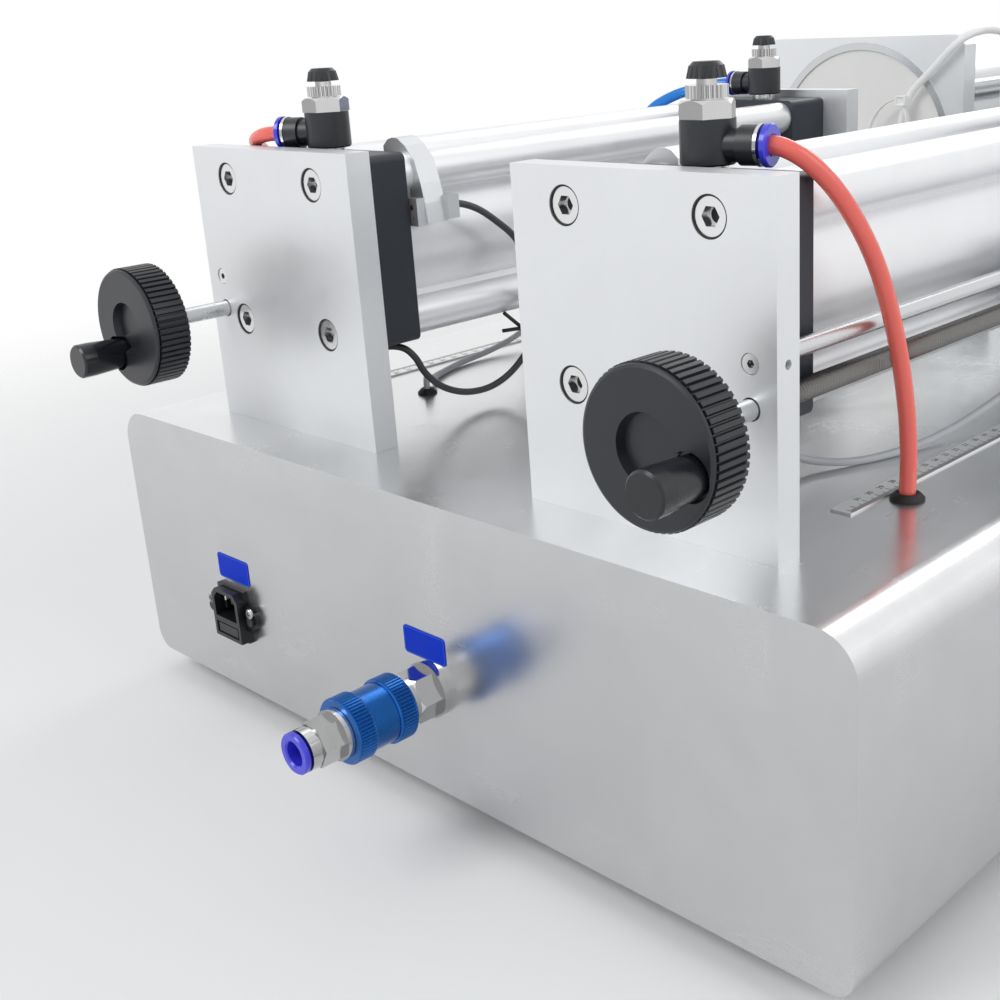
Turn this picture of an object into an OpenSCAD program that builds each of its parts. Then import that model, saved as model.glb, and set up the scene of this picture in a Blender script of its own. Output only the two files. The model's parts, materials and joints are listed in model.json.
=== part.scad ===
// Two-head piston filling machine for liquids.
// Z is up and Y runs along the machine: the filling nozzles are at -Y, and the
// handwheels, power inlet and air inlet are at +Y. The two heads are mirror images
// about X = 0, except for their air ports. All sizes are in millimetres.
// Each head is drawn in its own frame: x = u points outwards from the head's axis,
// y = -b, where b is the distance from the base's rear panel towards the front, and
// z is measured from the axis.

/* [Base] */
// Width of the base housing
base_w = 536; // [500:1:640]
// Height of the base housing, without its feet
base_h = 161; // [140:1:220]
// Thickness of the stainless steel sheet
sheet_t = 2; // [1.5:0.1:3]
// Radius of the bent upper edges
bend_r = 20; // [10:1:28]
// Radius of the bent lower edges
lower_r = 12; // [8:1:18]
// Length of the base in front of the front flanges
base_front = 28.5; // [26:0.5:60]
// Height of a rubber foot
foot_h = 15; // [10:1:30]
// Radius of a rubber foot
foot_r = 19; // [14:1:24]

/* [Heads] */
// Distance between the axes of the two heads
head_pitch = 266; // [250:1:300]
// Height of a head's axis above the base's top
axis_h = 101; // [98:0.5:120]
// Distance from the base's rear panel to the rear plates
plate_setback = 36.5; // [30:0.5:60]
// Width of a rear or middle plate
plate_w = 145; // [142:1:160]
// Height of a rear or middle plate
plate_h = 158; // [156:1:170]
// Thickness of a rear or middle plate
plate_t = 15; // [14:0.5:22]
// Distance between the centres of two neighbouring cylinder screws
screw_pitch = 80; // [76:0.5:81]
// Radius of a cylinder screw's head
screw_head_r = 8; // [7:0.1:9]
// Radius of a cylinder screw's shank
screw_r = 4.95; // [4:0.05:5.5]

/* [Air cylinders] */
// Travel of the pistons
stroke = 300; // [280:5:320]
// Bore radius of an air cylinder
bore_r = 40; // [36:0.5:41]
// Wall of the barrel's round tube
tube_wall = 5.5; // [4:0.5:6]
// Radius of the lobe round each long screw
lobe_r = 10.8; // [9:0.1:11]
// Side of a square cylinder cap
cap_w = 104; // [103:0.5:105]
// Length of a cylinder cap
cap_len = 39; // [36:1:46]
// Corner radius of a cylinder cap
cap_r = 4; // [3:0.5:8]
// Sideways offset of the air ports, the same way on both heads
port_x = -12.5; // [-16:0.5:16]
// Length of the air piston
air_piston_len = 30; // [24:1:36]
// Radius of the piston rod
rod_r = 12.5; // [10:0.5:15]

/* [Product cylinders] */
// Open length between the middle plate and the product plate
open_len = 113; // [100:1:140]
// Width of a product plate
product_plate_w = 192; // [190:1:200]
// Height of a product plate
product_plate_h = 191; // [190:1:205]
// Thickness of a product plate
product_plate_t = 18; // [16:1:24]
// Bore radius of a product cylinder
product_r = 80; // [74:0.5:81]
// Wall of a product barrel
product_wall = 5.5; // [4:0.5:6]
// Length of the product piston
product_piston_len = 34; // [30:1:40]
// Thickness of the front flange
flange_t = 18; // [16:1:24]
// Radius of a tie rod
tie_r = 6; // [5:0.5:7]
// Distance of a tie rod from the cylinder's axis
tie_reach = 95; // [93:0.5:100]

/* [Volume setting] */
// Outward offset of the guide rod and the lead screw from the head's axis
screw_u = 59.2; // [58.6:0.1:61]
// Depth of the guide rod below the head's axis
guide_drop = 16.8; // [15:0.1:18]
// Depth of the lead screw below the head's axis
lead_drop = 35.5; // [34:0.5:38]
// Radius of the guide rod
guide_r = 4; // [3:0.1:4.5]
// Radius of the lead screw
lead_r = 5; // [4.5:0.1:5.4]
// Radius of the lead screw's plain shaft at the handwheel
shaft_r = 4.5; // [4:0.1:4.5]
// Radius of a handwheel over its ribs
wheel_r = 33.2; // [32.6:0.1:35]
// Width of a handwheel's rim
wheel_w = 21; // [19:0.5:24]
// Distance from a handwheel's front face to the rear plate
wheel_reach = 64; // [58:1:75]
// Number of ribs round a handwheel
wheel_ribs = 60; // [48:4:72]
// Radius of the revolving grip
grip_r = 9.4; // [8.5:0.1:9.6]
// Length of the revolving grip
grip_len = 29; // [24:1:34]
// Distance from the handwheel's axis to the grip's axis
grip_offset = 21.5; // [20.6:0.1:21.8]
// Distance from the rear panel to the middle of the sensor slider
slider_b = 292; // [280:1:310]
// Length of the sensor slider
slider_len = 30; // [24:1:32]

/* [Air fittings] */
// Radius of an elbow's upright body
elbow_r = 12; // [11.5:0.1:12.5]
// Height of an elbow's upright body
elbow_h = 19; // [18:0.5:22]
// Length of an elbow's arm from the body's axis
arm_len = 24; // [23:0.5:25]
// Radius of an elbow's arm
arm_r = 8.3; // [8:0.1:8.8]
// Outer radius of the air tubes
tube_r = 4; // [3.8:0.1:4]
// Radius of a grommet's flange
grommet_r = 8.2; // [7.9:0.1:8.6]
// Radius of the blue sliding sleeve
sleeve_r = 17; // [16:0.5:19]
// Length of the blue sliding sleeve
sleeve_len = 36; // [32:1:37]

/* [Nozzles] */
// Outer radius of the product pipes
pipe_r = 19; // [18:0.5:20]
// Wall of the product pipes
pipe_wall = 3; // [2:0.5:3.5]
// Radius of the pipe ferrules
ferrule_r = 25.3; // [24.5:0.1:25.5]
// Height of a check valve body
valve_h = 120; // [110:2:140]
// Bend radius of the nozzle elbows
elbow_bend = 38; // [36:1:46]
// Outlet radius of a filling nozzle
outlet_r = 7; // [5:0.5:8]

/* [Hidden] */

$fn = 48;
left = -1;
right = 1;
heads = [left, right];
run = 0.05;        // radial clearance of a running fit
gap = 0.3;         // clearance between faces that pass each other
seat = 0.1;        // clearance of a fixed piece in its hole
over = 1;          // how far a cut runs past a face

// Stations along the machine, as distances b from the rear panel
rear_plate_b = plate_setback;
rear_cap_b = rear_plate_b + plate_t;
barrel_b = rear_cap_b + cap_len;
piston_room = 2;
barrel_len = piston_room + air_piston_len + stroke + 26;
front_cap_b = barrel_b + barrel_len;
middle_plate_b = front_cap_b + cap_len;
open_b = middle_plate_b + plate_t;
product_plate_b = open_b + open_len;
product_piston_b = product_plate_b + 1.5;
flange_b = product_piston_b + product_piston_len + stroke + 2;
flange_front_b = flange_b + flange_t;
base_len = flange_front_b + base_front;
ferrule_t = 3;
spool_len = 66;
valve_b = flange_front_b + ferrule_t + spool_len;
nozzle_b = valve_b + elbow_bend + 30;
nozzle_r = 19;
actuator_r = 20;

// The origin lies below the middle of the machine's box
inlet_reach = 84;
rear_y = (nozzle_b + actuator_r - inlet_reach) / 2;
base_top = foot_h + base_h;
head_z = base_top + axis_h;
top_z = base_top - head_z;

// Base and feet
cover_t = 1.5;
cover_opening_margin = 30;
foot_inset = 45;

// Screws that hold the heads
counterbore_r = screw_head_r + 1;
counterbore_d = 11;
screw_head_h = 10;
lobe_depth = 22;
hex_key_r = 4.6;
small_bore_r = 4.6;
small_head_r = 4.3;
foot_screw_r = 3.3;
foot_screw_head = 6;
foot_screw_inset = 21.75;
side_hole_r = 2.1;

// Product cylinders
chamfer = 8;
groove_d = 5;
flange_r = product_r + product_wall + 6.5;
flange_foot_w = 130;
lug_r = 12;
tie_depth = 12;
port_r = pipe_r - pipe_wall;

// Volume setting
bush_r = 7;
bush_depth = 4;
journal_r = 4;
hub_r = 11;
recess_r = 13.3;
recess_d = 4;
pocket_r = grip_r + 0.5;
pocket_d = 5;
pin_r = 3;
grip_angles = [-18, -48];
wheel_front_b = rear_plate_b - wheel_reach;
slider_in = 51.5;
slider_out = 70.5;
slider_top = -4;
slider_bottom = -48.5;
gland_u = 54;
gland_h = 4;
ruler_u = 57.3;
ruler_w = 11;
ruler_t = 1;
ruler_b = 104.5;
ruler_end = barrel_b + barrel_len - 14;

// Elbows: turn of each arm towards the front, from straight outwards
rear_turns = [12, -25];
front_turns = [0, -3];
elbow_lift = 3.5;
arm_rise = 8;
rear_port_b = rear_cap_b + cap_len / 2;
front_port_b = front_cap_b + cap_len / 2;
arm_height = axis_h + cap_w / 2 + elbow_lift + arm_rise;
tube_bore_r = tube_r + 0.15;
collet_r = tube_r + 1.2;
collet_len = 9;
collet_rim_r = 8.9;
collet_rim = 2.6;
collet_gap = 1.5;
ring_t = 1.5;

// Grommets on the base's top: outward offset from the head's axis, and station b
cable_grommet_r = 6;
cable_r = 2;
slider_cable_reach = 159;
nozzle_tube_r = 3;
rear_tube_hole = [71.5, rear_port_b + 67];
front_tube_hole = [71.5, front_port_b - 68];
slider_cable_hole = [0, slider_b - slider_cable_reach];
sensor_cable_hole = [-22, rear_port_b - 4];
nozzle_tube_hole = [-45, product_plate_b - 40.5];

// Air inlet on the rear panel
inlet_x = -16;
inlet_z = foot_h + 60;
valve_body_r = 12.4;
inlet_flange_t = 4;
inlet_hex_t = 13;
sleeve_travel = 4.5;
sleeve_b = inlet_flange_t + inlet_hex_t + sleeve_travel + gap;
sleeve_end = sleeve_b + sleeve_len;
inlet_tube_r = 6;

// Power inlet on the rear panel, and power switch on the front panel
power_x = 165;
power_z = foot_h + 52;
power_pitch = 40;
switch_x = 0;
switch_z = foot_h + 90;
switch_w = 22;
switch_h = 30;
rocker_pin_r = 1.5;

// Sensor clamps on the inner upper lobes
clamp_b = barrel_b + 6.5;
clamp_t = 14;
sensor_reach = 7;
sensor_drop = 19.5;

// Routes of the cords. A point is [u, b, height above the base's top], where u points
// outwards from the head's axis and b is measured from the station that is named.
// From the rear air port:
left_red_route = [
    [23, 2.2, 164.5], [32.1, 4.2, 164.5], [42.8, 6.4, 164.5], [51, 11.5, 160], [57.5, 21.5, 149.5],
    [63, 32, 134], [67.5, 43, 113], [70.2, 54, 84], [71.1, 63, 52], [71.5, 67, 24], [71.5, 67, 1]
];
right_red_route = [
    [-3.5, -4.2, 164.5], [5.6, -8.4, 164.5], [15.6, -13.1, 164.5], [27, -15.3, 163.5],
    [41, -12, 160], [52, -3, 155.5], [60, 10, 144.5], [65.5, 25, 126], [68.5, 40, 101],
    [70.7, 53, 73], [71.4, 64, 42], [71.5, 67, 18], [71.5, 67, 1]
];
sensor_route = [
    [-57, 47, 121.5], [-57, 52, 121.5], [-60, 62, 117.5], [-63, 74, 108.5], [-65, 84, 99],
    [-65, 93, 85], [-63, 100, 68], [-59, 104, 50], [-54, 104, 33], [-48.5, 98, 20],
    [-46.5, 87, 12], [-46, 72, 8.2], [-46, 53, 10], [-46, 36, 17.5], [-46, 24.5, 28.5],
    [-45, 19.5, 38], [-41, 15.5, 43.5], [-34, 9, 45], [-27, 2.5, 41], [-22.5, -3, 30],
    [-22, -4, 15], [-22, -4, 1]
];
// From the front air port:
left_blue_route = [
    [22.5, 0, 164.5], [32.5, 0, 164.5], [43.5, 0, 164.5], [53, -5, 160.5], [62, -15.5, 150],
    [68, -28, 134], [72, -43, 110], [73.3, -56, 80], [72.8, -65, 46], [71.5, -68, 18],
    [71.5, -68, 1]
];
right_blue_route = [
    [-2.5, -0.5, 164.5], [7.5, -1, 164.5], [18.5, -1.6, 164.5], [30, -5, 163.5],
    [42, -11.5, 161], [57, -20, 157], [68.5, -38, 146], [72, -53, 121], [73, -63, 88],
    [72.5, -67.5, 52], [71.5, -68, 20], [71.5, -68, 1]
];
// From the middle of the slider:
slider_route = [
    [54, 0, 48.5], [54, 0, 43], [53, -6, 31], [50, -16, 18], [44, -37, 9], [40, -67, 4],
    [35, -100, 2.3], [24, -129, 2.3], [12, -145, 5], [3, -156, 9.5], [0, -159, 7], [0, -159, 1]
];
// From the rear face of the product plate:
nozzle_route = [
    [-45, -40.5, 1], [-45, -40.5, 16], [-45, -27, 55], [-45, -11, 110], [-51, -6.5, 143],
    [-73, -6.5, 166], [-97, -5, 187], [-105, 9.5, 193], [-104, 44.5, 191], [-100, 150, 178],
    [-96, 250, 176], [-90, 345, 192], [-74, 430, 244], [-54, 480, 282], [-37, 493, 293],
    [-28, 493, 293]
];

// A frame of one head, and of a point on the floor
module on_head(side)
    translate([side * head_pitch / 2, rear_y, head_z])
        mirror([side < 0 ? 1 : 0, 0, 0])
            children();

module on_rear(x, z) translate([x, rear_y, z]) children();

// Children drawn along +Z are laid forwards from station b
module forwards(u, b, z) translate([u, -b, z]) rotate([90, 0, 0]) children();

module rod(r, from, to, u = 0, z = 0) forwards(u, from, z) cylinder(r = r, h = to - from);

module tube(outer, inner, h) difference() {
    cylinder(r = outer, h = h);
    translate([0, 0, -over]) cylinder(r = inner, h = h + 2 * over);
}

module hexagon(across, h) cylinder(r = across / 2 / cos(30), h = h, $fn = 6);

module rounded_square(w, h, r) union() {
    square([w - 2 * r, h], center = true);
    square([w, h - 2 * r], center = true);
    for (i = [-1, 1], j = [-1, 1])
        translate([i * (w / 2 - r), j * (h / 2 - r)]) circle(r = r);
}

// Centres of the four cylinder screws, and of the four tie rods
module at_corners(pitch)
    for (i = [-1, 1], j = [-1, 1]) translate([i * pitch / 2, 0, j * pitch / 2]) children();

// Ring of points round a swept tube at point i of its route
function unit(v) = v / norm(v);
function heading(p, i) = unit(p[min(i + 1, len(p) - 1)] - p[max(i - 1, 0)]);
function across(t) = unit(cross(t, abs(t.z) < 0.8 ? [0, 0, 1] : [0.2, 1, 0]));
function moved(v, t) = unit(v - (v * t) * t);
function frames(p, i = 0, v = undef) =
    i == len(p) ? [] :
    let (t = heading(p, i), n = is_undef(v) ? across(t) : moved(v, t))
    concat([[n, cross(t, n)]], frames(p, i + 1, n));

// A tube of radius r along a route of one head. The route starts from station b, its
// heights are stretched by rise, and its way forwards by reach.
module sweep(side, route, r, b, rise = 1, reach = 1, sides = 8) {
    p = [for (q = route) [side * (head_pitch / 2 + q.x),
        rear_y - b - (q.y > 0 ? reach : 1) * q.y, base_top + rise * q.z]];
    f = frames(p);
    n = len(p);
    rings = [for (i = [0:n - 1], k = [0:sides - 1])
        p[i] + r * (cos(360 * k / sides) * f[i][0] + sin(360 * k / sides) * f[i][1])];
    walls = [for (i = [0:n - 2], k = [0:sides - 1])
        let (k2 = (k + 1) % sides, a = i * sides, b = a + sides)
        [a + k, b + k, b + k2, a + k2]];
    polyhedron(rings, concat(walls,
        [[for (k = [0:sides - 1]) k]],
        [[for (k = [sides - 1:-1:0]) (n - 1) * sides + k]]));
}

// Base

module base_outline(inset) {
    w = base_w - 2 * inset;
    h = base_h - 2 * inset;
    upper = bend_r - inset;
    lower = lower_r - inset;
    translate([-w / 2, inset + lower]) square([w, h - upper - lower]);
    translate([-w / 2 + upper, inset + h / 2]) square([w - 2 * upper, h / 2]);
    translate([-w / 2 + lower, inset]) square([w - 2 * lower, h / 2]);
    for (i = [-1, 1]) {
        translate([i * (w / 2 - upper), inset + h - upper]) circle(r = upper);
        translate([i * (w / 2 - lower), inset + lower]) circle(r = lower);
    }
}

// Holes for the screws that hold the plates and flanges to the base's top
module at_foot_screws()
    for (side = heads) on_head(side) {
        for (b = [rear_plate_b + plate_t / 2, middle_plate_b + plate_t / 2],
             i = [-1, 1]) translate([i * (plate_w / 2 - foot_screw_inset), -b, top_z]) children();
        for (i = [-1, 1]) translate([i * (product_plate_w / 2 - foot_screw_inset),
            -product_plate_b - product_plate_t / 2, top_z]) children();
        for (i = [-1, 1]) translate([i * (flange_foot_w / 2 - foot_screw_inset),
            -flange_b - flange_t / 2, top_z]) children();
    }

module at_holes(holes)
    for (side = heads, q = holes) on_head(side) translate([q.x, -q.y, top_z]) children();

module at_tube_holes() at_holes([rear_tube_hole, front_tube_hole]) children();

module at_cable_holes() at_holes([slider_cable_hole, sensor_cable_hole]) children();

module base_housing() color("gainsboro") difference() {
    translate([0, rear_y, foot_h]) rotate([90, 0, 0])
        linear_extrude(base_len) base_outline(0);
    translate([0, rear_y - sheet_t, foot_h]) rotate([90, 0, 0])
        linear_extrude(base_len - 2 * sheet_t) base_outline(sheet_t);
    translate([-base_w / 2 + cover_opening_margin, rear_y - base_len + cover_opening_margin,
        foot_h - over]) cube([base_w - 2 * cover_opening_margin,
        base_len - 2 * cover_opening_margin, sheet_t + 2 * over]);
    at_foot_screws() translate([0, 0, -sheet_t - over])
        cylinder(r = foot_screw_r + seat, h = sheet_t + 2 * over);
    at_tube_holes() translate([0, 0, -sheet_t - over])
        cylinder(r = grommet_r - 2.5, h = sheet_t + 2 * over);
    at_cable_holes() translate([0, 0, -sheet_t - over])
        cylinder(r = cable_grommet_r - 1.5, h = sheet_t + 2 * over);
    at_holes([nozzle_tube_hole]) translate([0, 0, -sheet_t - over])
        cylinder(r = cable_grommet_r - 1.5, h = sheet_t + 2 * over);
    on_rear(inlet_x, inlet_z) rod(9.6, -over, sheet_t + over);
    on_rear(power_x, power_z) power_cutout();
    on_rear(switch_x, switch_z) forwards(0, base_len - sheet_t - over, 0)
        linear_extrude(sheet_t + 2 * over) square([switch_w, switch_h], center = true);
}

module power_cutout() {
    forwards(0, -over, 0) linear_extrude(sheet_t + 2 * over)
        square([power_body_w + 2 * seat, power_body_h + 2 * seat], center = true);
    for (i = [-1, 1]) rod(1.8, -over, sheet_t + over, i * power_pitch / 2);
}

module bottom_cover() color("silver") difference() {
    translate([-base_w / 2 + lower_r, rear_y - base_len + lower_r, foot_h - cover_t])
        cube([base_w - 2 * lower_r, base_len - 2 * lower_r, cover_t]);
    at_feet() translate([0, 0, -over]) cylinder(r = 3.2, h = foot_h + 2 * over);
}

module at_feet()
    for (i = [-1, 1], b = [foot_inset, base_len - foot_inset])
        translate([i * (base_w / 2 - foot_inset), rear_y - b, 0]) children();

// Each foot is a tapered rubber disc with a recess for the screw's head
module rubber_feet() color("#1b1b1d") at_feet() rotate_extrude() polygon([
    [4, 5], [9, 5], [9, 0], [foot_r - 2, 0], [foot_r - 1, 1],
    [foot_r, foot_h - cover_t], [4, foot_h - cover_t]
]);

// Plates

// The tie rods stand beside the cylinder, where they leave the top clear
module at_ties()
    for (i = [-1, 1], j = [-1, 1])
        translate([i * tie_reach * cos(30), 0, j * tie_reach * sin(30)]) children();

module slab(b, w, h, t) translate([-w / 2, -b - t, top_z]) cube([w, t, h]);

module foot_screw_holes(b, w)
    for (i = [-1, 1]) translate([i * (w / 2 - foot_screw_inset), -b, top_z - over])
        cylinder(r = foot_screw_r + seat, h = 17 + over);

module rear_plate() difference() {
    slab(rear_plate_b, plate_w, plate_h, plate_t);
    at_corners(screw_pitch) {
        rod(screw_r + seat, rear_plate_b - over, rear_cap_b + over);
        rod(counterbore_r, rear_plate_b - over, rear_plate_b + counterbore_d);
    }
    rod(small_bore_r, rear_plate_b - over, rear_plate_b + 4.5, screw_u, -guide_drop);
    rod(2.7, rear_plate_b, rear_plate_b + 8, screw_u, -guide_drop);
    rod(guide_r + run, rear_plate_b + 6.5, rear_cap_b + over, screw_u, -guide_drop);
    rod(shaft_r + 0.5, rear_plate_b - over, rear_plate_b + bush_depth + over, screw_u, -lead_drop);
    rod(bush_r + seat, rear_plate_b + bush_depth, rear_cap_b + over, screw_u, -lead_drop);
    translate([plate_w / 2 + over, -rear_plate_b - plate_t / 2, -guide_drop])
        rotate([0, -90, 0]) cylinder(r = side_hole_r, h = plate_w / 2 - screw_u + over);
    foot_screw_holes(rear_plate_b + plate_t / 2, plate_w);
}

module middle_plate() difference() {
    slab(middle_plate_b, plate_w, plate_h, plate_t);
    at_corners(screw_pitch) {
        rod(screw_r + seat, middle_plate_b - over, open_b + over);
        rod(counterbore_r, open_b - counterbore_d, open_b + over);
    }
    rod(rod_r + 6, middle_plate_b - over, open_b + over);
    rod(guide_r + run, middle_plate_b - over, middle_plate_b + 8.5, screw_u, -guide_drop);
    rod(journal_r + run, middle_plate_b - over, middle_plate_b + 12, screw_u, -lead_drop);
    foot_screw_holes(middle_plate_b + plate_t / 2, plate_w);
}

module head_plates() color("#e9eaec") for (side = heads) on_head(side) {
    rear_plate();
    middle_plate();
}

// Air cylinders

module cap_blank(b) difference() {
    forwards(0, b, 0) linear_extrude(cap_len) rounded_square(cap_w, cap_w, cap_r);
    at_corners(screw_pitch) rod(screw_r + seat, b - over, b + cap_len + over);
}

// The port drops from the cap's top into its air space
module port(side, b) translate([side * port_x, -b - cap_len / 2, 0])
    cylinder(r = 6.6, h = cap_w / 2 + over);

module rear_cap(side) difference() {
    cap_blank(rear_cap_b);
    rod(20, barrel_b - 26, barrel_b + over);
    port(side, rear_cap_b);
}

module front_cap(side) difference() {
    cap_blank(front_cap_b);
    rod(20, front_cap_b - over, front_cap_b + 26);
    rod(rod_r + run, front_cap_b, middle_plate_b + over);
    port(side, front_cap_b);
}

module cylinder_caps() color("#23262d") for (side = heads) on_head(side) {
    rear_cap(side);
    front_cap(side);
}

module barrel_profile() difference() {
    union() {
        circle(r = bore_r + tube_wall, $fn = 96);
        for (a = [45:90:315]) rotate(a) {
            translate([screw_pitch / sqrt(2), 0]) circle(r = lobe_r);
            translate([bore_r, -lobe_r * 0.7])
                square([screw_pitch / sqrt(2) - bore_r, lobe_r * 1.4]);
        }
    }
    circle(r = bore_r, $fn = 96);
    for (i = [-1, 1], j = [-1, 1])
        translate([i, j] * screw_pitch / 2) circle(r = screw_r + seat);
}

module air_barrels() color("#d9dbde") for (side = heads) on_head(side)
    forwards(0, barrel_b, 0) linear_extrude(barrel_len) barrel_profile();

// A socket screw whose head lies on its seat at b = 0 and points rearwards
module socket_screw(length) {
    difference() {
        rod(screw_head_r, -screw_head_h, 0);
        forwards(0, -screw_head_h - over, 0) cylinder(r = hex_key_r, h = 5 + over, $fn = 6);
    }
    rod(screw_r, -0.5, length);
}

module foot_screw() {
    translate([0, 0, -sheet_t - foot_screw_head]) cylinder(r = 5, h = foot_screw_head);
    translate([0, 0, -sheet_t - 1]) cylinder(r = foot_screw_r, h = sheet_t + 16);
}

module plate_screws() color("#9a9ca0") {
    reach = plate_t - counterbore_d + cap_len + lobe_depth;
    for (side = heads) on_head(side) {
        at_corners(screw_pitch) {
            translate([0, -rear_plate_b - counterbore_d, 0]) socket_screw(reach);
            translate([0, -open_b + counterbore_d, 0]) rotate([0, 0, 180]) socket_screw(reach);
        }
        translate([screw_u, -rear_plate_b - 4.5, -guide_drop]) {
            difference() {
                rod(small_head_r, -4, 0);
                forwards(0, -4 - over, 0) cylinder(r = 1.8, h = 2 + over, $fn = 6);
            }
            rod(2.5, -0.5, 14);
        }
    }
    at_foot_screws() foot_screw();
}

// Product cylinders

// Square plate with its two upper corners cut off
module product_slab(b, t) difference() {
    slab(b, product_plate_w, product_plate_h, t);
    for (i = [-1, 1])
        translate([i * product_plate_w / 2, -b - t - over, top_z + product_plate_h])
            rotate([0, 45, 0]) translate([-chamfer / sqrt(2), 0, -chamfer / sqrt(2)])
                cube([chamfer * sqrt(2), t + 2 * over, chamfer * sqrt(2)]);
    foot_screw_holes(b + t / 2, product_plate_w);
}

module product_plates() color("#e6e7e9") for (side = heads) on_head(side) difference() {
    product_slab(product_plate_b, product_plate_t);
    rod(product_r + product_wall + run, product_plate_b - over,
        product_plate_b + product_plate_t + over, $fn = 96);
    at_ties() rod(tie_r + seat, product_plate_b + product_plate_t - tie_depth,
        product_plate_b + product_plate_t + over);
}

module product_barrels() color("#dfe1e4") for (side = heads) on_head(side)
    forwards(0, product_plate_b, 0)
        tube(product_r + product_wall, product_r, flange_b + groove_d - product_plate_b,
            $fn = 96);

// The flange is a disc with a lug for each tie rod, on a foot as wide as its lugs are apart
module front_flanges() color("#d4d6d9") for (side = heads) on_head(side) difference() {
    union() {
        rod(flange_r, flange_b, flange_front_b, $fn = 96);
        at_ties() rod(lug_r, flange_b, flange_front_b);
        slab(flange_b, flange_foot_w, axis_h - 45, flange_t);
        rod(pipe_r, flange_front_b - 1, flange_front_b + ferrule_t);
        rod(ferrule_r, flange_front_b, flange_front_b + ferrule_t);
    }
    forwards(0, flange_b - over, 0)
        tube(product_r + product_wall + seat, product_r - seat, groove_d + over, $fn = 96);
    rod(port_r, flange_b - over, flange_front_b + ferrule_t + over);
    at_ties() rod(tie_r + seat, flange_b - over, flange_front_b + over);
    foot_screw_holes(flange_b + flange_t / 2, flange_foot_w);
}

// A tie rod is screwed into the product plate and carries a domed nut in front
module tie_rods() color("#c3c6ca") for (side = heads) on_head(side) at_ties() {
    rod(tie_r, product_plate_b + product_plate_t - tie_depth, flange_front_b + 6);
    forwards(0, flange_front_b, 0) {
        hexagon(18, 8);
        translate([0, 0, 8]) cylinder(r1 = 8.5, r2 = 4, h = 6);
    }
}

// Volume setting

module guide_rods() color("#b9bbc0") for (side = heads) on_head(side) difference() {
    rod(guide_r, rear_plate_b + 6.5, middle_plate_b + 8.5, screw_u, -guide_drop);
    rod(2.6, rear_plate_b + 5.5, rear_plate_b + 21, screw_u, -guide_drop);
}

module screw_bushes() color("#b08d57") for (side = heads) on_head(side) difference() {
    rod(bush_r, rear_plate_b + bush_depth + seat, rear_cap_b, screw_u, -lead_drop);
    rod(shaft_r + run, rear_plate_b, rear_cap_b + over, screw_u, -lead_drop);
}

// Outline of the rim: a flat-topped rib and a groove, once round for each rib
module ribbed_disc() {
    step = 360 / wheel_ribs;
    root = wheel_r - 1.2;
    polygon([for (k = [0:wheel_ribs - 1], q = [[0, root], [0.14, wheel_r],
        [0.7, wheel_r], [0.84, root]])
        q[1] * [cos((k + q[0]) * step), sin((k + q[0]) * step)]]);
}

// Body of the wheel without its ribs: the dished back, hub, plain front ring and recess
module wheel_body() rotate_extrude($fn = 96) polygon([
    [0, wheel_w - recess_d], [recess_r, wheel_w - recess_d], [recess_r + 1.2, wheel_w],
    [wheel_r - 2.2, wheel_w], [wheel_r - 1, wheel_w - 0.6], [wheel_r - 0.6, wheel_w - 1.4],
    [wheel_r - 1, wheel_w - 2], [wheel_r - 2, wheel_w - 2.2], [wheel_r - 2, 0],
    [wheel_r - 6, 0], [wheel_r - 7.5, 7], [hub_r + 1.5, 8], [hub_r, -7], [0, -7]
]);

// The wheel stands on the origin with its face up, and turns its grip to angle a
module handwheel(a) difference() {
    union() {
        wheel_body();
        translate([0, 0, 0.8]) linear_extrude(wheel_w - 3.2) difference() {
            ribbed_disc();
            circle(r = wheel_r - 4, $fn = 96);
        }
    }
    translate([0, 0, -8]) cylinder(r = shaft_r + run, h = wheel_w + 1);
    rotate(a) translate([grip_offset, 0, 0]) {
        translate([0, 0, wheel_w - pocket_d]) cylinder(r = pocket_r, h = pocket_d + over);
        translate([0, 0, wheel_w - pocket_d - 4])
            cylinder(r = pin_r + seat, h = 4 + over);
    }
}

// Puts a piece of the handwheel, face up, on its shaft with the face rearwards
module at_wheel(side) on_head(side)
    translate([screw_u, -wheel_front_b - wheel_w, -lead_drop]) rotate([-90, 0, 0]) children();

module grip() difference() {
    rotate_extrude() polygon([
        [0, 0], [grip_r - 1.4, 0], [grip_r - 1, 5], [grip_r, grip_len - 8],
        [grip_r, grip_len - 1], [grip_r - 1, grip_len], [0, grip_len]
    ]);
    translate([0, 0, -over]) cylinder(r = pin_r + run, h = 21 + over);
}

function grip_angle(side) = side == left ? grip_angles[0] : grip_angles[1];

// The wheel's frame is turned over, so an angle seen from the rear changes its sign
module at_grip(side) at_wheel(side) rotate(-grip_angle(side))
    translate([grip_offset, 0, wheel_w - pocket_d]) children();

module wheel_node(side) color("#26282c") at_wheel(side) handwheel(-grip_angle(side));

module grip_node(side) color("#2b2d31") at_grip(side) translate([0, 0, gap]) grip();

// The lead screw with its shaft and journal, and the pin that carries the grip
module lead_node(side) color("#8f9196") {
    on_head(side) {
        rod(lead_r, rear_cap_b + 2 + gap, middle_plate_b - gap, screw_u, -lead_drop);
        rod(shaft_r, wheel_front_b + 9.3, rear_cap_b + 4, screw_u, -lead_drop);
        rod(journal_r, middle_plate_b - 2, middle_plate_b + 11.5, screw_u, -lead_drop);
    }
    at_grip(side) translate([0, 0, -4]) cylinder(r = pin_r, h = 24);
}

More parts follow.
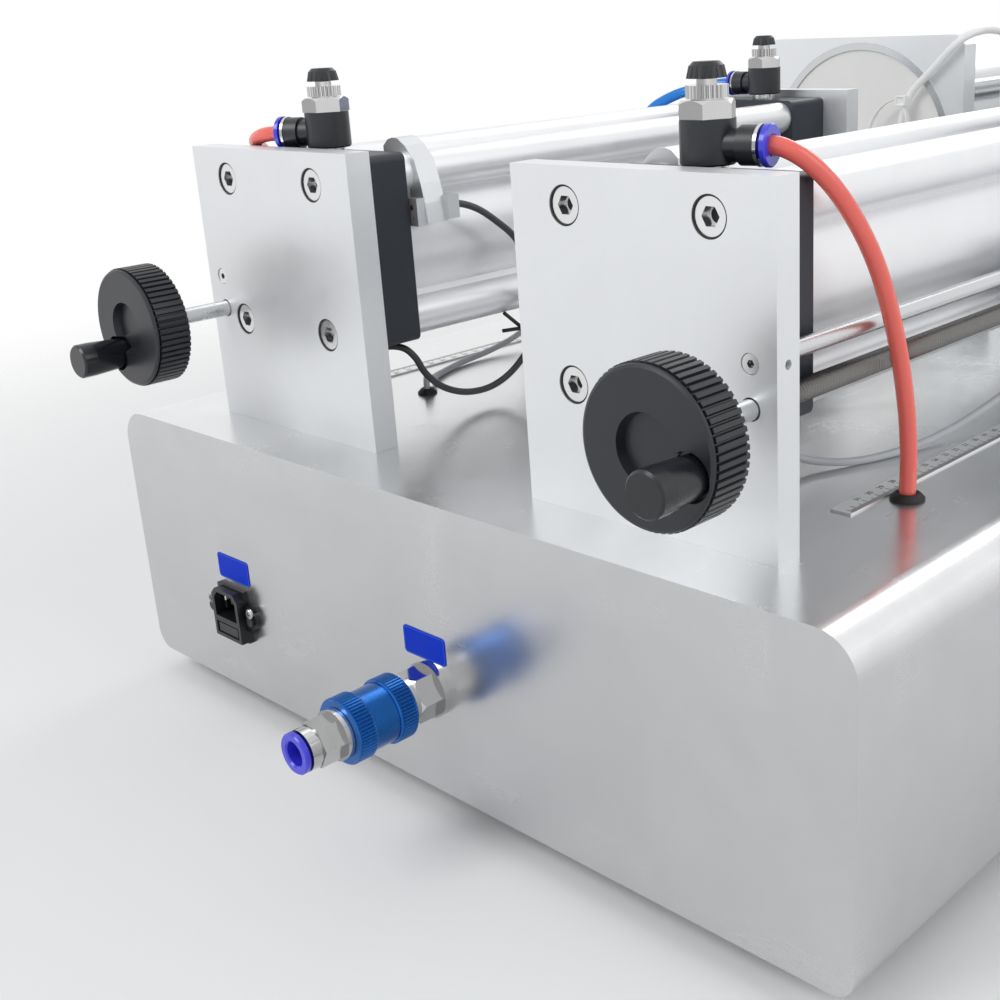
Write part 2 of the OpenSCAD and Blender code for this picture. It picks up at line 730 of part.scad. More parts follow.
// The slider with its sensor, cable gland and pointer
module slider_node(side) color("#c9cbce") on_head(side) {
    from = slider_b - slider_len / 2;
    difference() {
        union() {
            translate([slider_in, -from - slider_len, slider_bottom])
                cube([slider_out - slider_in, slider_len, slider_top - slider_bottom]);
            translate([slider_in - 5, -from - slider_len, -24])
                cube([6, slider_len, 18]);
            translate([gland_u, -slider_b, slider_bottom - gland_h])
                cylinder(r = 3, h = gland_h + 1);
        }
        rod(guide_r + run, from - over, from + slider_len + over, screw_u, -guide_drop);
        rod(lead_r + run, from - over, from + slider_len + over, screw_u, -lead_drop);
    }
    translate([61, -from, 0]) rotate([90, 0, 0]) translate([0, 0, -1.5])
        linear_extrude(1.5) polygon([
            [-2.5, slider_bottom + 5], [2.5, slider_bottom + 5], [2.5, slider_bottom - 6],
            [0.8, top_z + ruler_t + 0.8], [-0.8, top_z + ruler_t + 0.8],
            [-2.5, slider_bottom - 6]
        ]);
}

// Pistons

module piston_rod_node(side) color("#cfd2d6") on_head(side) {
    difference() {
        rod(bore_r - run, barrel_b + piston_room, barrel_b + piston_room + air_piston_len,
            $fn = 96);
        for (b = [6, air_piston_len - 9])
            forwards(0, barrel_b + piston_room + b, 0) tube(bore_r + over, bore_r - 2, 3, $fn = 96);
    }
    rod(rod_r, barrel_b + piston_room + air_piston_len - 1, product_piston_b);
    rod(8, product_piston_b - 1, product_piston_b + product_piston_len - 8);
}

module product_piston_node(side) color("#f3f3f1") on_head(side) difference() {
    rod(product_r - run, product_piston_b, product_piston_b + product_piston_len, $fn = 96);
    rod(8 + seat, product_piston_b - over, product_piston_b + product_piston_len - 7.5);
    for (b = [7, product_piston_len - 11])
        forwards(0, product_piston_b + b, 0) tube(product_r + over, product_r - 2, 4, $fn = 96);
}

// Air fittings

// The elbow's frame: its foot on the cap's top, its arm turned by a towards the front
module at_elbow(side, b) on_head(side)
    translate([side * port_x, -b - cap_len / 2, cap_w / 2]) children();

module at_arm(side, b, turn) at_elbow(side, b) translate([0, 0, elbow_lift + arm_rise])
    rotate([0, 0, -turn]) rotate([0, 90, 0]) children();

module at_each_elbow() {
    for (k = [0, 1]) {
        at_elbow(heads[k], rear_cap_b) children();
        at_elbow(heads[k], front_cap_b) children();
    }
}

module at_each_arm() {
    for (k = [0, 1]) {
        at_arm(heads[k], rear_cap_b, rear_turns[k]) children();
        at_arm(heads[k], front_cap_b, front_turns[k]) children();
    }
}

module elbow(side, b, turn) difference() {
    union() {
        at_elbow(side, b) translate([0, 0, elbow_lift]) {
            cylinder(r1 = elbow_r - 0.8, r2 = elbow_r, h = 0.8);
            translate([0, 0, 0.8]) cylinder(r = elbow_r, h = elbow_h - 0.8);
        }
        at_arm(side, b, turn) {
            cylinder(r = arm_r - 1.3, h = arm_len - 6);
            translate([0, 0, arm_len - 8]) cylinder(r = arm_r, h = 8);
        }
    }
    at_elbow(side, b) translate([0, 0, elbow_lift - over])
        cylinder(r = 6.5, h = elbow_h + 2 * over);
    at_arm(side, b, turn) {
        translate([0, 0, 9]) cylinder(r = tube_bore_r, h = arm_len);
        translate([0, 0, arm_len - 8]) cylinder(r = collet_r + run, h = 8 + over);
    }
}

module flow_elbows() color("#25272b") for (k = [0, 1]) {
    elbow(heads[k], rear_cap_b, rear_turns[k]);
    elbow(heads[k], front_cap_b, front_turns[k]);
}

// Lock nut outline with straight knurls
module knurled(r, teeth, depth) {
    step = 360 / teeth;
    polygon([for (k = [0:teeth - 1], q = [[0, r - depth], [0.25, r], [0.6, r], [0.85, r - depth]])
        q[1] * [cos((k + q[0]) * step), sin((k + q[0]) * step)]]);
}

// The nickelled valve stem: thread, washer, hexagon, knurled lock nut and neck,
// and the ring in the mouth of the arm
module flow_stems() color("#cfcfcb") {
    at_each_elbow() difference() {
        union() {
            translate([0, 0, -12]) cylinder(r = 6.5, h = 12.5);
            cylinder(r = 9, h = elbow_lift);
            translate([0, 0, elbow_lift]) cylinder(r = 6.4, h = elbow_h);
            translate([0, 0, elbow_lift + elbow_h]) {
                intersection() {
                    hexagon(22, 7.5);
                    rotate_extrude() polygon([[0, 0], [13, 0], [13, 5.6], [11, 7.5], [0, 7.5]]);
                }
                translate([0, 0, 7.5]) cylinder(r = 7, h = 0.6);
                translate([0, 0, 8.1]) linear_extrude(5.2) knurled(9, 28, 0.7);
                translate([0, 0, 13]) cylinder(r = 4.4, h = 2.7);
            }
        }
        translate([0, 0, elbow_lift + 4]) cylinder(r = 2.5 + run, h = elbow_h + 20);
    }
    at_each_arm() translate([0, 0, arm_len]) tube(arm_r + 0.4, collet_r + run, ring_t);
}

knob_z = elbow_lift + elbow_h + 15.7 + gap;

// A fluted knob that widens downwards, on the spindle that it screws up and down
module knob() {
    difference() {
        cylinder(r1 = 8.6, r2 = 7.4, h = 5);
        for (k = [0:17]) rotate(k * 20) translate([8.9, 0, -over])
            rotate([0, -8, 0]) cylinder(r = 0.75, h = 8, $fn = 16);
    }
    translate([0, 0, 5]) cylinder(r1 = 7.2, r2 = 5.6, h = 1.6);
    translate([0, 0, -elbow_h]) cylinder(r = 2.5, h = elbow_h + 1);
}

module knob_node(side, b) color("#202226") at_elbow(side, b) translate([0, 0, knob_z]) knob();

// Release collet: a rim outside the fitting and a sleeve that runs in its bore
module collet(inner, outer, rim_r) rotate_extrude() polygon([
    [inner, -collet_len], [outer, -collet_len], [outer, 0], [rim_r, 0],
    [rim_r, collet_rim - 0.6], [rim_r - 0.6, collet_rim], [inner + 0.8, collet_rim],
    [inner, collet_rim - 0.8]
]);

module collet_node(side, b, turn) color("#3f3fd0") at_arm(side, b, turn)
    translate([0, 0, arm_len + ring_t + collet_gap]) collet(tube_bore_r, collet_r, collet_rim_r);

// A domed grommet with its neck in the sheet, a lip under it and a seat for the tube
module grommet(r, neck, hole) rotate_extrude() polygon([
    [0, -sheet_t - 1.6], [r - 0.8, -sheet_t - 1.6], [r - 0.8, -sheet_t], [neck, -sheet_t],
    [neck, 0], [r, 0], [r, 1], [r - 1.6, 2.7], [hole + 1.6, 3.4], [hole + 0.6, 3.4], [hole, 3],
    [hole, 1], [0, 1]
]);

module tube_grommets() color("#141416") {
    at_tube_holes() grommet(grommet_r, grommet_r - 2.5, tube_r + seat);
    at_cable_holes() grommet(cable_grommet_r, cable_grommet_r - 1.5, cable_r + seat);
    at_holes([nozzle_tube_hole])
        grommet(cable_grommet_r, cable_grommet_r - 1.5, nozzle_tube_r + seat);
}

module ruler_strips() color("#e8e9ea") for (side = heads) on_head(side)
    translate([ruler_u - ruler_w / 2, -ruler_end, top_z])
        cube([ruler_w, ruler_end - ruler_b, ruler_t]);

// Air inlet

module at_inlet() on_rear(inlet_x, inlet_z) children();

// Wall union with its hexagon, the slide valve's body, and the push-in fitting
module inlet_valve() color("#c9cacb") at_inlet() difference() {
    union() {
        rod(9.5, -1, 14);
        rod(15, -inlet_flange_t, 0);
        forwards(0, -inlet_flange_t - inlet_hex_t, 0) intersection() {
            hexagon(24, inlet_hex_t);
            rotate_extrude() polygon([[0, 0], [12.4, 0], [13.9, 2], [13.9, inlet_hex_t],
                [0, inlet_hex_t]]);
        }
        rod(valve_body_r, -sleeve_end - 1, -inlet_flange_t - inlet_hex_t + 1);
        rod(13, -sleeve_end - 4, -sleeve_end - gap);
        forwards(0, -73.5, 0) hexagon(20, 73.5 - sleeve_end - 4 + 0.5);
        rod(9.6, -75, -73);
        rod(10.5, -inlet_reach + collet_rim + collet_gap, -75);
        forwards(0, sheet_t, 0) hexagon(24, 6);
    }
    rod(inlet_tube_r + 0.15, -inlet_reach, 15);
    rod(inlet_tube_r + 1.2 + run, -inlet_reach,
        -inlet_reach + collet_rim + collet_gap + collet_len);
}

module inlet_collet() color("#3f3fd0") at_inlet()
    translate([0, inlet_reach - collet_rim, 0]) rotate([-90, 0, 0])
        collet(inlet_tube_r + 0.15, inlet_tube_r + 1.2, 10.4);

// The sleeve has two knurled bands with a smooth waist between them
module inlet_sleeve() color("#1c5fa8") at_inlet() forwards(0, -sleeve_end, 0)
    difference() {
        union() {
            cylinder(r = sleeve_r - 1.5, h = sleeve_len);
            for (z = [0, sleeve_len - 11]) {
                translate([0, 0, z + 1]) linear_extrude(9) knurled(sleeve_r, 60, 0.6);
                translate([0, 0, z]) cylinder(r1 = sleeve_r - 1, r2 = sleeve_r - 0.6, h = 1);
                translate([0, 0, z + 10]) cylinder(r1 = sleeve_r - 0.6, r2 = sleeve_r - 1, h = 1);
            }
        }
        translate([0, 0, -over]) cylinder(r = valve_body_r + run, h = sleeve_len + 2 * over);
    }

// Power inlet

power_body_w = 27.5;
power_body_h = 31;
power_rise = 8;

module power_face() difference() {
    square([power_body_w, power_body_h], center = true);
    for (i = [-1, 1]) translate([i * power_body_w / 2, power_body_h / 2]) rotate(45)
        square(6, center = true);
}

module socket_shape() difference() {
    square([22, 15.5], center = true);
    for (i = [-1, 1]) translate([i * 11, 7.75]) rotate(45) square(5, center = true);
}

module power_inlet() color("#17181a") on_rear(power_x, power_z) {
    difference() {
        union() {
            forwards(0, -power_rise, 0) linear_extrude(power_rise) power_face();
            forwards(0, -3, 0) linear_extrude(3) difference() {
                union() {
                    square([power_body_w, power_body_h + 2], center = true);
                    for (i = [-1, 1]) {
                        translate([i * power_pitch / 2, 0]) circle(r = 5);
                        translate([i * power_pitch / 4, 0]) square([power_pitch / 2, 16], center = true);
                    }
                }
                for (i = [-1, 1]) translate([i * power_pitch / 2, 0]) circle(r = 1.8);
            }
            forwards(0, -1, 0) linear_extrude(24) square([power_body_w, power_body_h], center = true);
        }
        forwards(0, -power_rise - over, 5.5) linear_extrude(17 + over) socket_shape();
        forwards(0, -power_rise - over, -9.5) linear_extrude(1.2 + over)
            square([23, 7.5], center = true);
    }
    forwards(0, -power_rise + 0.4, -9.5) linear_extrude(0.8) square([20, 5.5], center = true);
    for (i = [-1, 0, 1]) forwards(i * 7, -power_rise + 5, i == 0 ? 7.5 : 3.5)
        linear_extrude(12) square([2, 4], center = true);
    for (i = [-1, 1]) forwards(i * power_pitch / 2, 0, 0) {
        translate([0, 0, -5]) cylinder(r = 3, h = 2);
        translate([0, 0, -4]) cylinder(r = 1.6, h = 9);
    }
}

// Power switch

module switch_frame() color("#1d1e20") on_rear(switch_x, switch_z) difference() {
    union() {
        forwards(0, base_len, 0) linear_extrude(2.5)
            rounded_square(switch_w + 5, switch_h + 5, 2);
        forwards(0, base_len - 14, 0) linear_extrude(15)
            square([switch_w - 2 * seat, switch_h - 2 * seat], center = true);
    }
    forwards(0, base_len - 12, 0) linear_extrude(15 + over)
        square([switch_w - 4, switch_h - 4], center = true);
    translate([-switch_w, -base_len + 3, 0]) rotate([0, 90, 0])
        cylinder(r = rocker_pin_r + run, h = 2 * switch_w);
}

// The rocker turns on its two stub pins, and its face is dished in the middle
module power_rocker() color("#b3201c") on_rear(switch_x, switch_z)
    translate([0, -base_len + 3, 0]) {
        rotate([180, -90, 0]) translate([0, 0, -(switch_w - 5) / 2])
            linear_extrude(switch_w - 5) polygon([
                [-11.5, -1], [-9, -6], [9, -6], [11.5, -1], [11.5, 6], [5, 5], [0, 4.6],
                [-5, 5.6], [-11.5, 7.6]
            ]);
        rotate([0, 90, 0]) translate([0, 0, -switch_w / 2 + 0.6])
            cylinder(r = rocker_pin_r, h = switch_w - 1.2);
    }

// Sensor clamps

// An arm over the inner upper lobe that runs down beside the barrel to the sensor
module clamp_profile() {
    c = screw_pitch / 2;
    difference() {
        translate([-c, c]) polygon([
            [14, 7], [14, 14], [10, 17.4], [6, 18.6], [1, 18.2], [-4.5, 14.6], [-11.8, 6.6],
            [-15.6, -5.5], [-18, -16], [-19.6, -27], [-6, -27], [-6, -8], [0, 0]
        ]);
        translate([-c, c]) circle(r = lobe_r + seat);
        circle(r = bore_r + tube_wall + seat, $fn = 96);
        translate([-c, c]) rotate(-45) translate([0, -lobe_r * 0.7 - seat])
            square([30, lobe_r * 1.4 + 2 * seat]);
    }
}

// The rear block has a lamp hole over a screw hole, and the front one lets the cable out
module sensor_clamp() {
    c = screw_pitch / 2;
    difference() {
        union() {
            forwards(0, clamp_b, 0) linear_extrude(clamp_t) clamp_profile();
            translate([-c - 17.5, -clamp_b - 1, c - 28]) cube([12, 6.5, 15]);
            translate([-c - 22, -clamp_b - clamp_t - sensor_reach, c - sensor_drop - 6.5])
                cube([10, sensor_reach + 1, 13]);
        }
        rod(1.7, clamp_b - 6, clamp_b - 2, -c - 13, c - 18);
        rod(1.2, clamp_b - 6, clamp_b - 2, -c - 13, c - 24);
    }
}

module sensor_clamps() color("#d6d7d9") for (side = heads) on_head(side) sensor_clamp();

// Front pipework

module elbow_pipe(r, bend) rotate_extrude(angle = 90) translate([bend, 0]) circle(r = r);

module ferrule() cylinder(r = ferrule_r, h = ferrule_t);

valve_top = valve_h / 2;
elbow_z = valve_top + 2 * ferrule_t + elbow_bend;

// The check valve body with its spool to the flange
module valve_tee() difference() {
    union() {
        rod(pipe_r, flange_front_b + ferrule_t, valve_b);
        rod(ferrule_r, flange_front_b + ferrule_t, flange_front_b + 2 * ferrule_t);
        translate([0, -valve_b, -valve_top]) cylinder(r = pipe_r + 3, h = valve_h);
        for (z = [-valve_top, valve_top]) translate([0, -valve_b, z < 0 ? z - ferrule_t : z])
            ferrule();
    }
    rod(port_r - 1, flange_front_b, valve_b);
    translate([0, -valve_b, -valve_top - ferrule_t - over])
        cylinder(r = port_r, h = valve_h + 2 * ferrule_t + 2 * over);
}

// Hose tail under the check valve, with three barbs
module hose_tail() translate([0, -valve_b, -valve_top - ferrule_t]) rotate([180, 0, 0])
    difference() {
        union() {
            ferrule();
            cylinder(r = 14, h = 52);
            for (k = [0:2]) translate([0, 0, 16 + 12 * k]) cylinder(r1 = 16, r2 = 14, h = 10);
        }
        translate([0, 0, -over]) cylinder(r = 11, h = 60);
    }

// Elbow from the check valve's top forwards to the nozzle
module nozzle_elbow() difference() {
    union() {
        translate([0, -valve_b - elbow_bend, elbow_z - elbow_bend]) rotate([90, 0, 90])
            elbow_pipe(pipe_r, elbow_bend);
        translate([0, -valve_b, valve_top + ferrule_t]) ferrule();
        translate([0, -valve_b - elbow_bend, elbow_z]) rotate([90, 0, 0]) ferrule();
    }
    translate([0, -valve_b - elbow_bend, elbow_z - elbow_bend]) rotate([90, 0, 90])
        elbow_pipe(port_r - 1, elbow_bend);
    translate([0, -valve_b, valve_top]) cylinder(r = port_r, h = 2 * ferrule_t);
    rod(port_r, valve_b + elbow_bend, valve_b + elbow_bend + ferrule_t + over, 0, elbow_z);
}

module front_pipework() color("#cfd1d4") for (side = heads) on_head(side) {
    valve_tee();
    hose_tail();
    nozzle_elbow();
}

// Two half shells round each pair of ferrules, with the wing nut's bolt beside them
module pipe_clamp() {
    tube(ferrule_r + 6, ferrule_r + 0.2, 14);
    translate([ferrule_r + 5, -6, 0]) cube([12, 12, 14]);
    translate([ferrule_r + 13, 0, 7]) rotate([90, 0, 0]) cylinder(r = 4, h = 24, center = true);
}

module pipe_clamps() color("#b8babd") for (side = heads) on_head(side) {
    forwards(0, flange_front_b + ferrule_t - 2.5, 0) translate([0, 0, -1.5]) translate([0, 0, 1.8])
        pipe_clamp_short();
    translate([0, -valve_b, -valve_top - ferrule_t - 7]) pipe_clamp();
    translate([0, -valve_b, valve_top + ferrule_t - 7]) pipe_clamp();
    forwards(0, nozzle_joint_b - 7, elbow_z) pipe_clamp();
}

// The clamp beside the flange is thinner, because it lies on the flange's face
module pipe_clamp_short() {
    tube(ferrule_r + 6, ferrule_r + 0.2, 9);
}

nozzle_joint_b = valve_b + elbow_bend + ferrule_t;
nozzle_drop = 150;
nozzle_rise = 34;
nozzle_low = elbow_z - nozzle_drop;
nozzle_high = elbow_z + nozzle_rise;
spout_len = 40;
nozzle_seat = spout_len + 20;
actuator_cap = 12;
actuator_floor = 16;
actuator_bore = 14;
plunger_r = 5;
actuator_h = 62;
plunger_travel = 8;

// Upright nozzle with a side inlet, a tapered end and a plain outlet
module nozzle_body() translate([0, -nozzle_b, 0]) difference() {
    union() {
        translate([0, 0, nozzle_low]) {
            cylinder(r = outlet_r + 3, h = spout_len + 5);
            translate([0, 0, spout_len])
                cylinder(r1 = outlet_r + 3, r2 = nozzle_r, h = nozzle_seat - spout_len);
            translate([0, 0, nozzle_seat])
                cylinder(r = nozzle_r, h = nozzle_high - nozzle_low - nozzle_seat);
        }
        translate([0, nozzle_b - nozzle_joint_b, elbow_z]) rotate([90, 0, 0]) {
            cylinder(r = pipe_r - 1, h = nozzle_b - nozzle_joint_b);
            ferrule();
        }
    }
    translate([0, 0, nozzle_low - over]) cylinder(r = outlet_r, h = nozzle_seat);
    translate([0, 0, nozzle_low + nozzle_seat - 2])
        cylinder(r = nozzle_r - 4, h = nozzle_high - nozzle_low);
    translate([0, nozzle_b - nozzle_joint_b + over, elbow_z]) rotate([90, 0, 0])
        cylinder(r = port_r - 2, h = nozzle_b - nozzle_joint_b);
}

// Small air cylinder on top of the nozzle, with its port towards the machine
module nozzle_actuator() translate([0, -nozzle_b, nozzle_high]) difference() {
    union() {
        cylinder(r = actuator_r, h = actuator_cap);
        translate([0, 0, actuator_cap])
            cylinder(r = actuator_r - 2, h = actuator_h - 2 * actuator_cap);
        translate([0, 0, actuator_h - actuator_cap]) cylinder(r = actuator_r, h = actuator_cap);
        translate([-28, 0, actuator_h - 8]) rotate([0, 90, 0]) cylinder(r = 5, h = 20);
    }
    translate([0, 0, -over]) cylinder(r = plunger_r + run, h = actuator_floor + 4);
    translate([0, 0, actuator_floor])
        cylinder(r = actuator_bore, h = actuator_h - actuator_floor - 10);
}

module nozzle_bodies() color("#cdd0d3") for (side = heads) on_head(side) {
    nozzle_body();
    nozzle_actuator();
}

// Plunger with its seal at the seat and its small piston in the actuator
module plunger_node(side) color("#9fa2a7") on_head(side) translate([0, -nozzle_b, 0]) {
    translate([0, 0, nozzle_low + nozzle_seat - 2 + gap]) cylinder(r = nozzle_r - 8, h = 12);
    translate([0, 0, nozzle_low + nozzle_seat])
        cylinder(r = plunger_r, h = nozzle_drop + nozzle_rise + actuator_floor + 2 - nozzle_seat);
    translate([0, 0, nozzle_high + actuator_floor + gap])
        cylinder(r = actuator_bore - run, h = plunger_travel);
}

// Inside the base

valve_bank = [120, 50, 28];
valve_bank_b = 210;
coil = [22, 42, 34];
coil_pitch = 28;
board = [140, 100, 1.6];
board_b = 420;
pillar_h = 12;
relay = [40, 30, 16];

// Block of solenoid valves with four air ports, and the control board on its pillars
module inner_unit() color("#b7babf") {
    translate([-valve_bank.x / 2, rear_y - valve_bank_b, foot_h]) {
        cube(valve_bank);
        for (k = [0:3]) translate([6 + coil_pitch * k, 4, valve_bank.z]) cube(coil);
        for (k = [0:3]) translate([17 + coil_pitch * k, -6, valve_bank.z / 2])
            rotate([-90, 0, 0]) cylinder(r = 6, h = 8);
    }
    translate([-board.x / 2, rear_y - board_b, foot_h]) {
        for (i = [0, 1], j = [0, 1])
            translate([8 + (board.x - 16) * i, 8 + (board.y - 16) * j, 0])
                cylinder(r = 3, h = pillar_h);
        translate([0, 0, pillar_h]) cube(board);
        translate([20, 20, pillar_h + board.z]) cube(relay);
        translate([80, 15, pillar_h + board.z]) cube([45, 18, 12]);
        translate([15, board.y - 30, pillar_h + board.z]) cube([board.x - 30, 12, 14]);
    }
}

// Cords

// Each route is stretched so that its height follows the fitting that it leaves
module air_tube(side, route, b) sweep(side, route, tube_r, b, arm_height / 164.5);

module slider_cable(side) color("#b9bcc0")
    sweep(side, slider_route, cable_r, slider_b, (axis_h + slider_bottom - gland_h) / 48.5);

module sensor_cable(side) color("#54575c")
    sweep(side, sensor_route, cable_r, rear_port_b,
        (axis_h + screw_pitch / 2 - sensor_drop) / 121.5);

module nozzle_tube(side) color("#f2f2f0")
    sweep(side, nozzle_route, nozzle_tube_r, product_plate_b,
        (axis_h + nozzle_high + actuator_h - 8) / 293, (nozzle_b - product_plate_b) / 493);

module left_red_tube() color("#ff5f57") air_tube(left, left_red_route, rear_port_b);
module right_red_tube() color("#ff5f57") air_tube(right, right_red_route, rear_port_b);
module left_blue_tube() color("#0a84e0") air_tube(left, left_blue_route, front_port_b);
module right_blue_tube() color("#0a84e0") air_tube(right, right_blue_route, front_port_b);

base_housing();
bottom_cover();
rubber_feet();
head_plates();
cylinder_caps();
air_barrels();
plate_screws();
product_plates();
product_barrels();
front_flanges();
tie_rods();
guide_rods();
screw_bushes();
flow_elbows();
flow_stems();
tube_grommets();
ruler_strips();
power_inlet();
inlet_valve();
sensor_clamps();
front_pipework();
pipe_clamps();
nozzle_bodies();
inner_unit();
switch_frame();
left_red_tube();
right_red_tube();
left_blue_tube();
right_blue_tube();
slider_cable(left);  // left_slider_cable
slider_cable(right);  // right_slider_cable
sensor_cable(left);  // left_sensor_cable
sensor_cable(right);  // right_sensor_cable
nozzle_tube(left);  // left_nozzle_tube
nozzle_tube(right);  // right_nozzle_tube
wheel_node(left);  // left_handwheel
wheel_node(right);  // right_handwheel
lead_node(left);  // left_lead_screw
lead_node(right);  // right_lead_screw
grip_node(left);  // left_grip
grip_node(right);  // right_grip
slider_node(left);  // left_slider
slider_node(right);  // right_slider
piston_rod_node(left);  // left_piston_rod
piston_rod_node(right);  // right_piston_rod
product_piston_node(left);  // left_product_piston
product_piston_node(right);  // right_product_piston
knob_node(left, rear_cap_b);  // rear_left_knob
knob_node(right, rear_cap_b);  // rear_right_knob
knob_node(left, front_cap_b);  // front_left_knob
knob_node(right, front_cap_b);  // front_right_knob
collet_node(left, rear_cap_b, rear_turns[0]);  // rear_left_collet
collet_node(right, rear_cap_b, rear_turns[1]);  // rear_right_collet
collet_node(left, front_cap_b, front_turns[0]);  // front_left_collet
collet_node(right, front_cap_b, front_turns[1]);  // front_right_collet
inlet_collet();
inlet_sleeve();
plunger_node(left);  // left_nozzle_plunger
plunger_node(right);  // right_nozzle_plunger
power_rocker();
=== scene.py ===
"""Looks of a two-head piston filling machine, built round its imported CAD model.

Every size is in metres. Z is up, the filling nozzles are at -Y, and the handwheels,
the power inlet and the air inlet are at +Y. Each head has its own frame: u points
outwards from the head's axis, b points forwards, and z is measured from the axis.
"""

import json
import logging
import math
from collections.abc import Callable, Iterator
from contextlib import contextmanager
from dataclasses import dataclass, field
from enum import Enum
from typing import ClassVar

import bpy
from mathutils import Matrix, Vector


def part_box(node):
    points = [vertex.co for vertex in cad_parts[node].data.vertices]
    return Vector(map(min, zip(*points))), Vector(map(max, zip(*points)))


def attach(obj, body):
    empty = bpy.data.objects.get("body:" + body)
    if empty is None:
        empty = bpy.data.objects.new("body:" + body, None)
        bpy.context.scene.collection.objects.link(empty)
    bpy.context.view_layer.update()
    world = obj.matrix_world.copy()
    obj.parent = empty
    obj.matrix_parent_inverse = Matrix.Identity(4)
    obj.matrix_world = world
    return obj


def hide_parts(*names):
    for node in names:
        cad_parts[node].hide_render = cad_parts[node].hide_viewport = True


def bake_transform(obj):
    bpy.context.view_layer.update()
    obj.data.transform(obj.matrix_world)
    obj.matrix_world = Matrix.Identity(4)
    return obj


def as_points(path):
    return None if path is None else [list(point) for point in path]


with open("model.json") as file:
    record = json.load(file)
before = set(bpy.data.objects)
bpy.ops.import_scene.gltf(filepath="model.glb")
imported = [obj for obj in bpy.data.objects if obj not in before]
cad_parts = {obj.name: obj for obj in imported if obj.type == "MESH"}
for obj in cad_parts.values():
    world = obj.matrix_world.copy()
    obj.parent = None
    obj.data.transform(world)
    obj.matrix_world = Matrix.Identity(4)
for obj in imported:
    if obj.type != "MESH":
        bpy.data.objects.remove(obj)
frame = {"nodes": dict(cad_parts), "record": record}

LOG = logging.getLogger("filling_machine")
MM = 0.001
MICRON = 0.000001
TINY = 1e-6
FACING = 0.9
LEFT = -1
RIGHT = 1
SIDES = (LEFT, RIGHT)
SIDE_NAMES = {LEFT: "left", RIGHT: "right"}

Pair = tuple[float, float]
Point = tuple[float, float, float]
Colour = tuple[float, float, float]
Inputs = dict[str | int, object]
Object = bpy.types.Object
Material = bpy.types.Material
Node = bpy.types.Node
Tree = bpy.types.NodeTree


def linear(code: str) -> Colour:
    """Turn a six-digit screen colour into the shader's linear colour.

    Args:
        code: The colour as hexadecimal digits, without a sign in front.

    Returns:
        Red, green and blue between 0 and 1.
    """
    parts = [int(code[i : i + 2], 16) / 255 for i in (0, 2, 4)]
    return tuple(p / 12.92 if p <= 0.04045 else ((p + 0.055) / 1.055) ** 2.4 for p in parts)


# Materials


class Grain(Enum):
    """The fine surface texture of a finish, and its stretch along each axis."""

    MOULDED = ("moulded", (1.0, 1.0, 1.0))
    BRUSHED_LONG = ("brushed along the machine", (1.0, 0.012, 1.0))
    BRUSHED_ACROSS = ("brushed across the machine", (0.012, 1.0, 1.0))
    BLASTED = ("blasted", (1.0, 1.0, 1.0))
    TURNED = ("turned", (0.25, 1.0, 0.25))

    @property
    def stretch(self) -> Point:
        """Return the grain's stretch."""
        return self.value[1]


class Net:
    """Adds shader nodes to a tree and feeds their inputs."""

    def __init__(self, tree: Tree) -> None:
        """Work on this tree."""
        self.tree = tree

    def feed(self, node: Node, inputs: Inputs) -> Node:
        """Link or set a node's inputs.

        Args:
            node: The node.
            inputs: What each input gets, by its name or place: an output socket, a node
                whose first output is meant, or a value.

        Returns:
            The node.
        """
        for key, value in inputs.items():
            if isinstance(value, Node):
                value = value.outputs[0]
            if isinstance(value, bpy.types.NodeSocket):
                self.tree.links.new(value, node.inputs[key])
            else:
                node.inputs[key].default_value = value
        return node

    def add(self, kind: str, inputs: Inputs | None = None, **settings: object) -> Node:
        """Add a node with these settings and inputs."""
        node = self.tree.nodes.new("ShaderNode" + kind)
        for key, value in settings.items():
            setattr(node, key, value)
        return self.feed(node, inputs or {})

    def mix(self, share: object, first: object, second: object, blend: str = "MIX") -> object:
        """Mix two colours, and return the output socket."""
        inputs = {0: share, 6: first, 7: second}
        return self.add("Mix", inputs, data_type="RGBA", blend_type=blend).outputs[2]

    def group(self, name: str, inputs: Inputs) -> Node:
        """Add a shared group with these inputs."""
        return self.add("Group", inputs, node_tree=ShaderParts.tree(name))


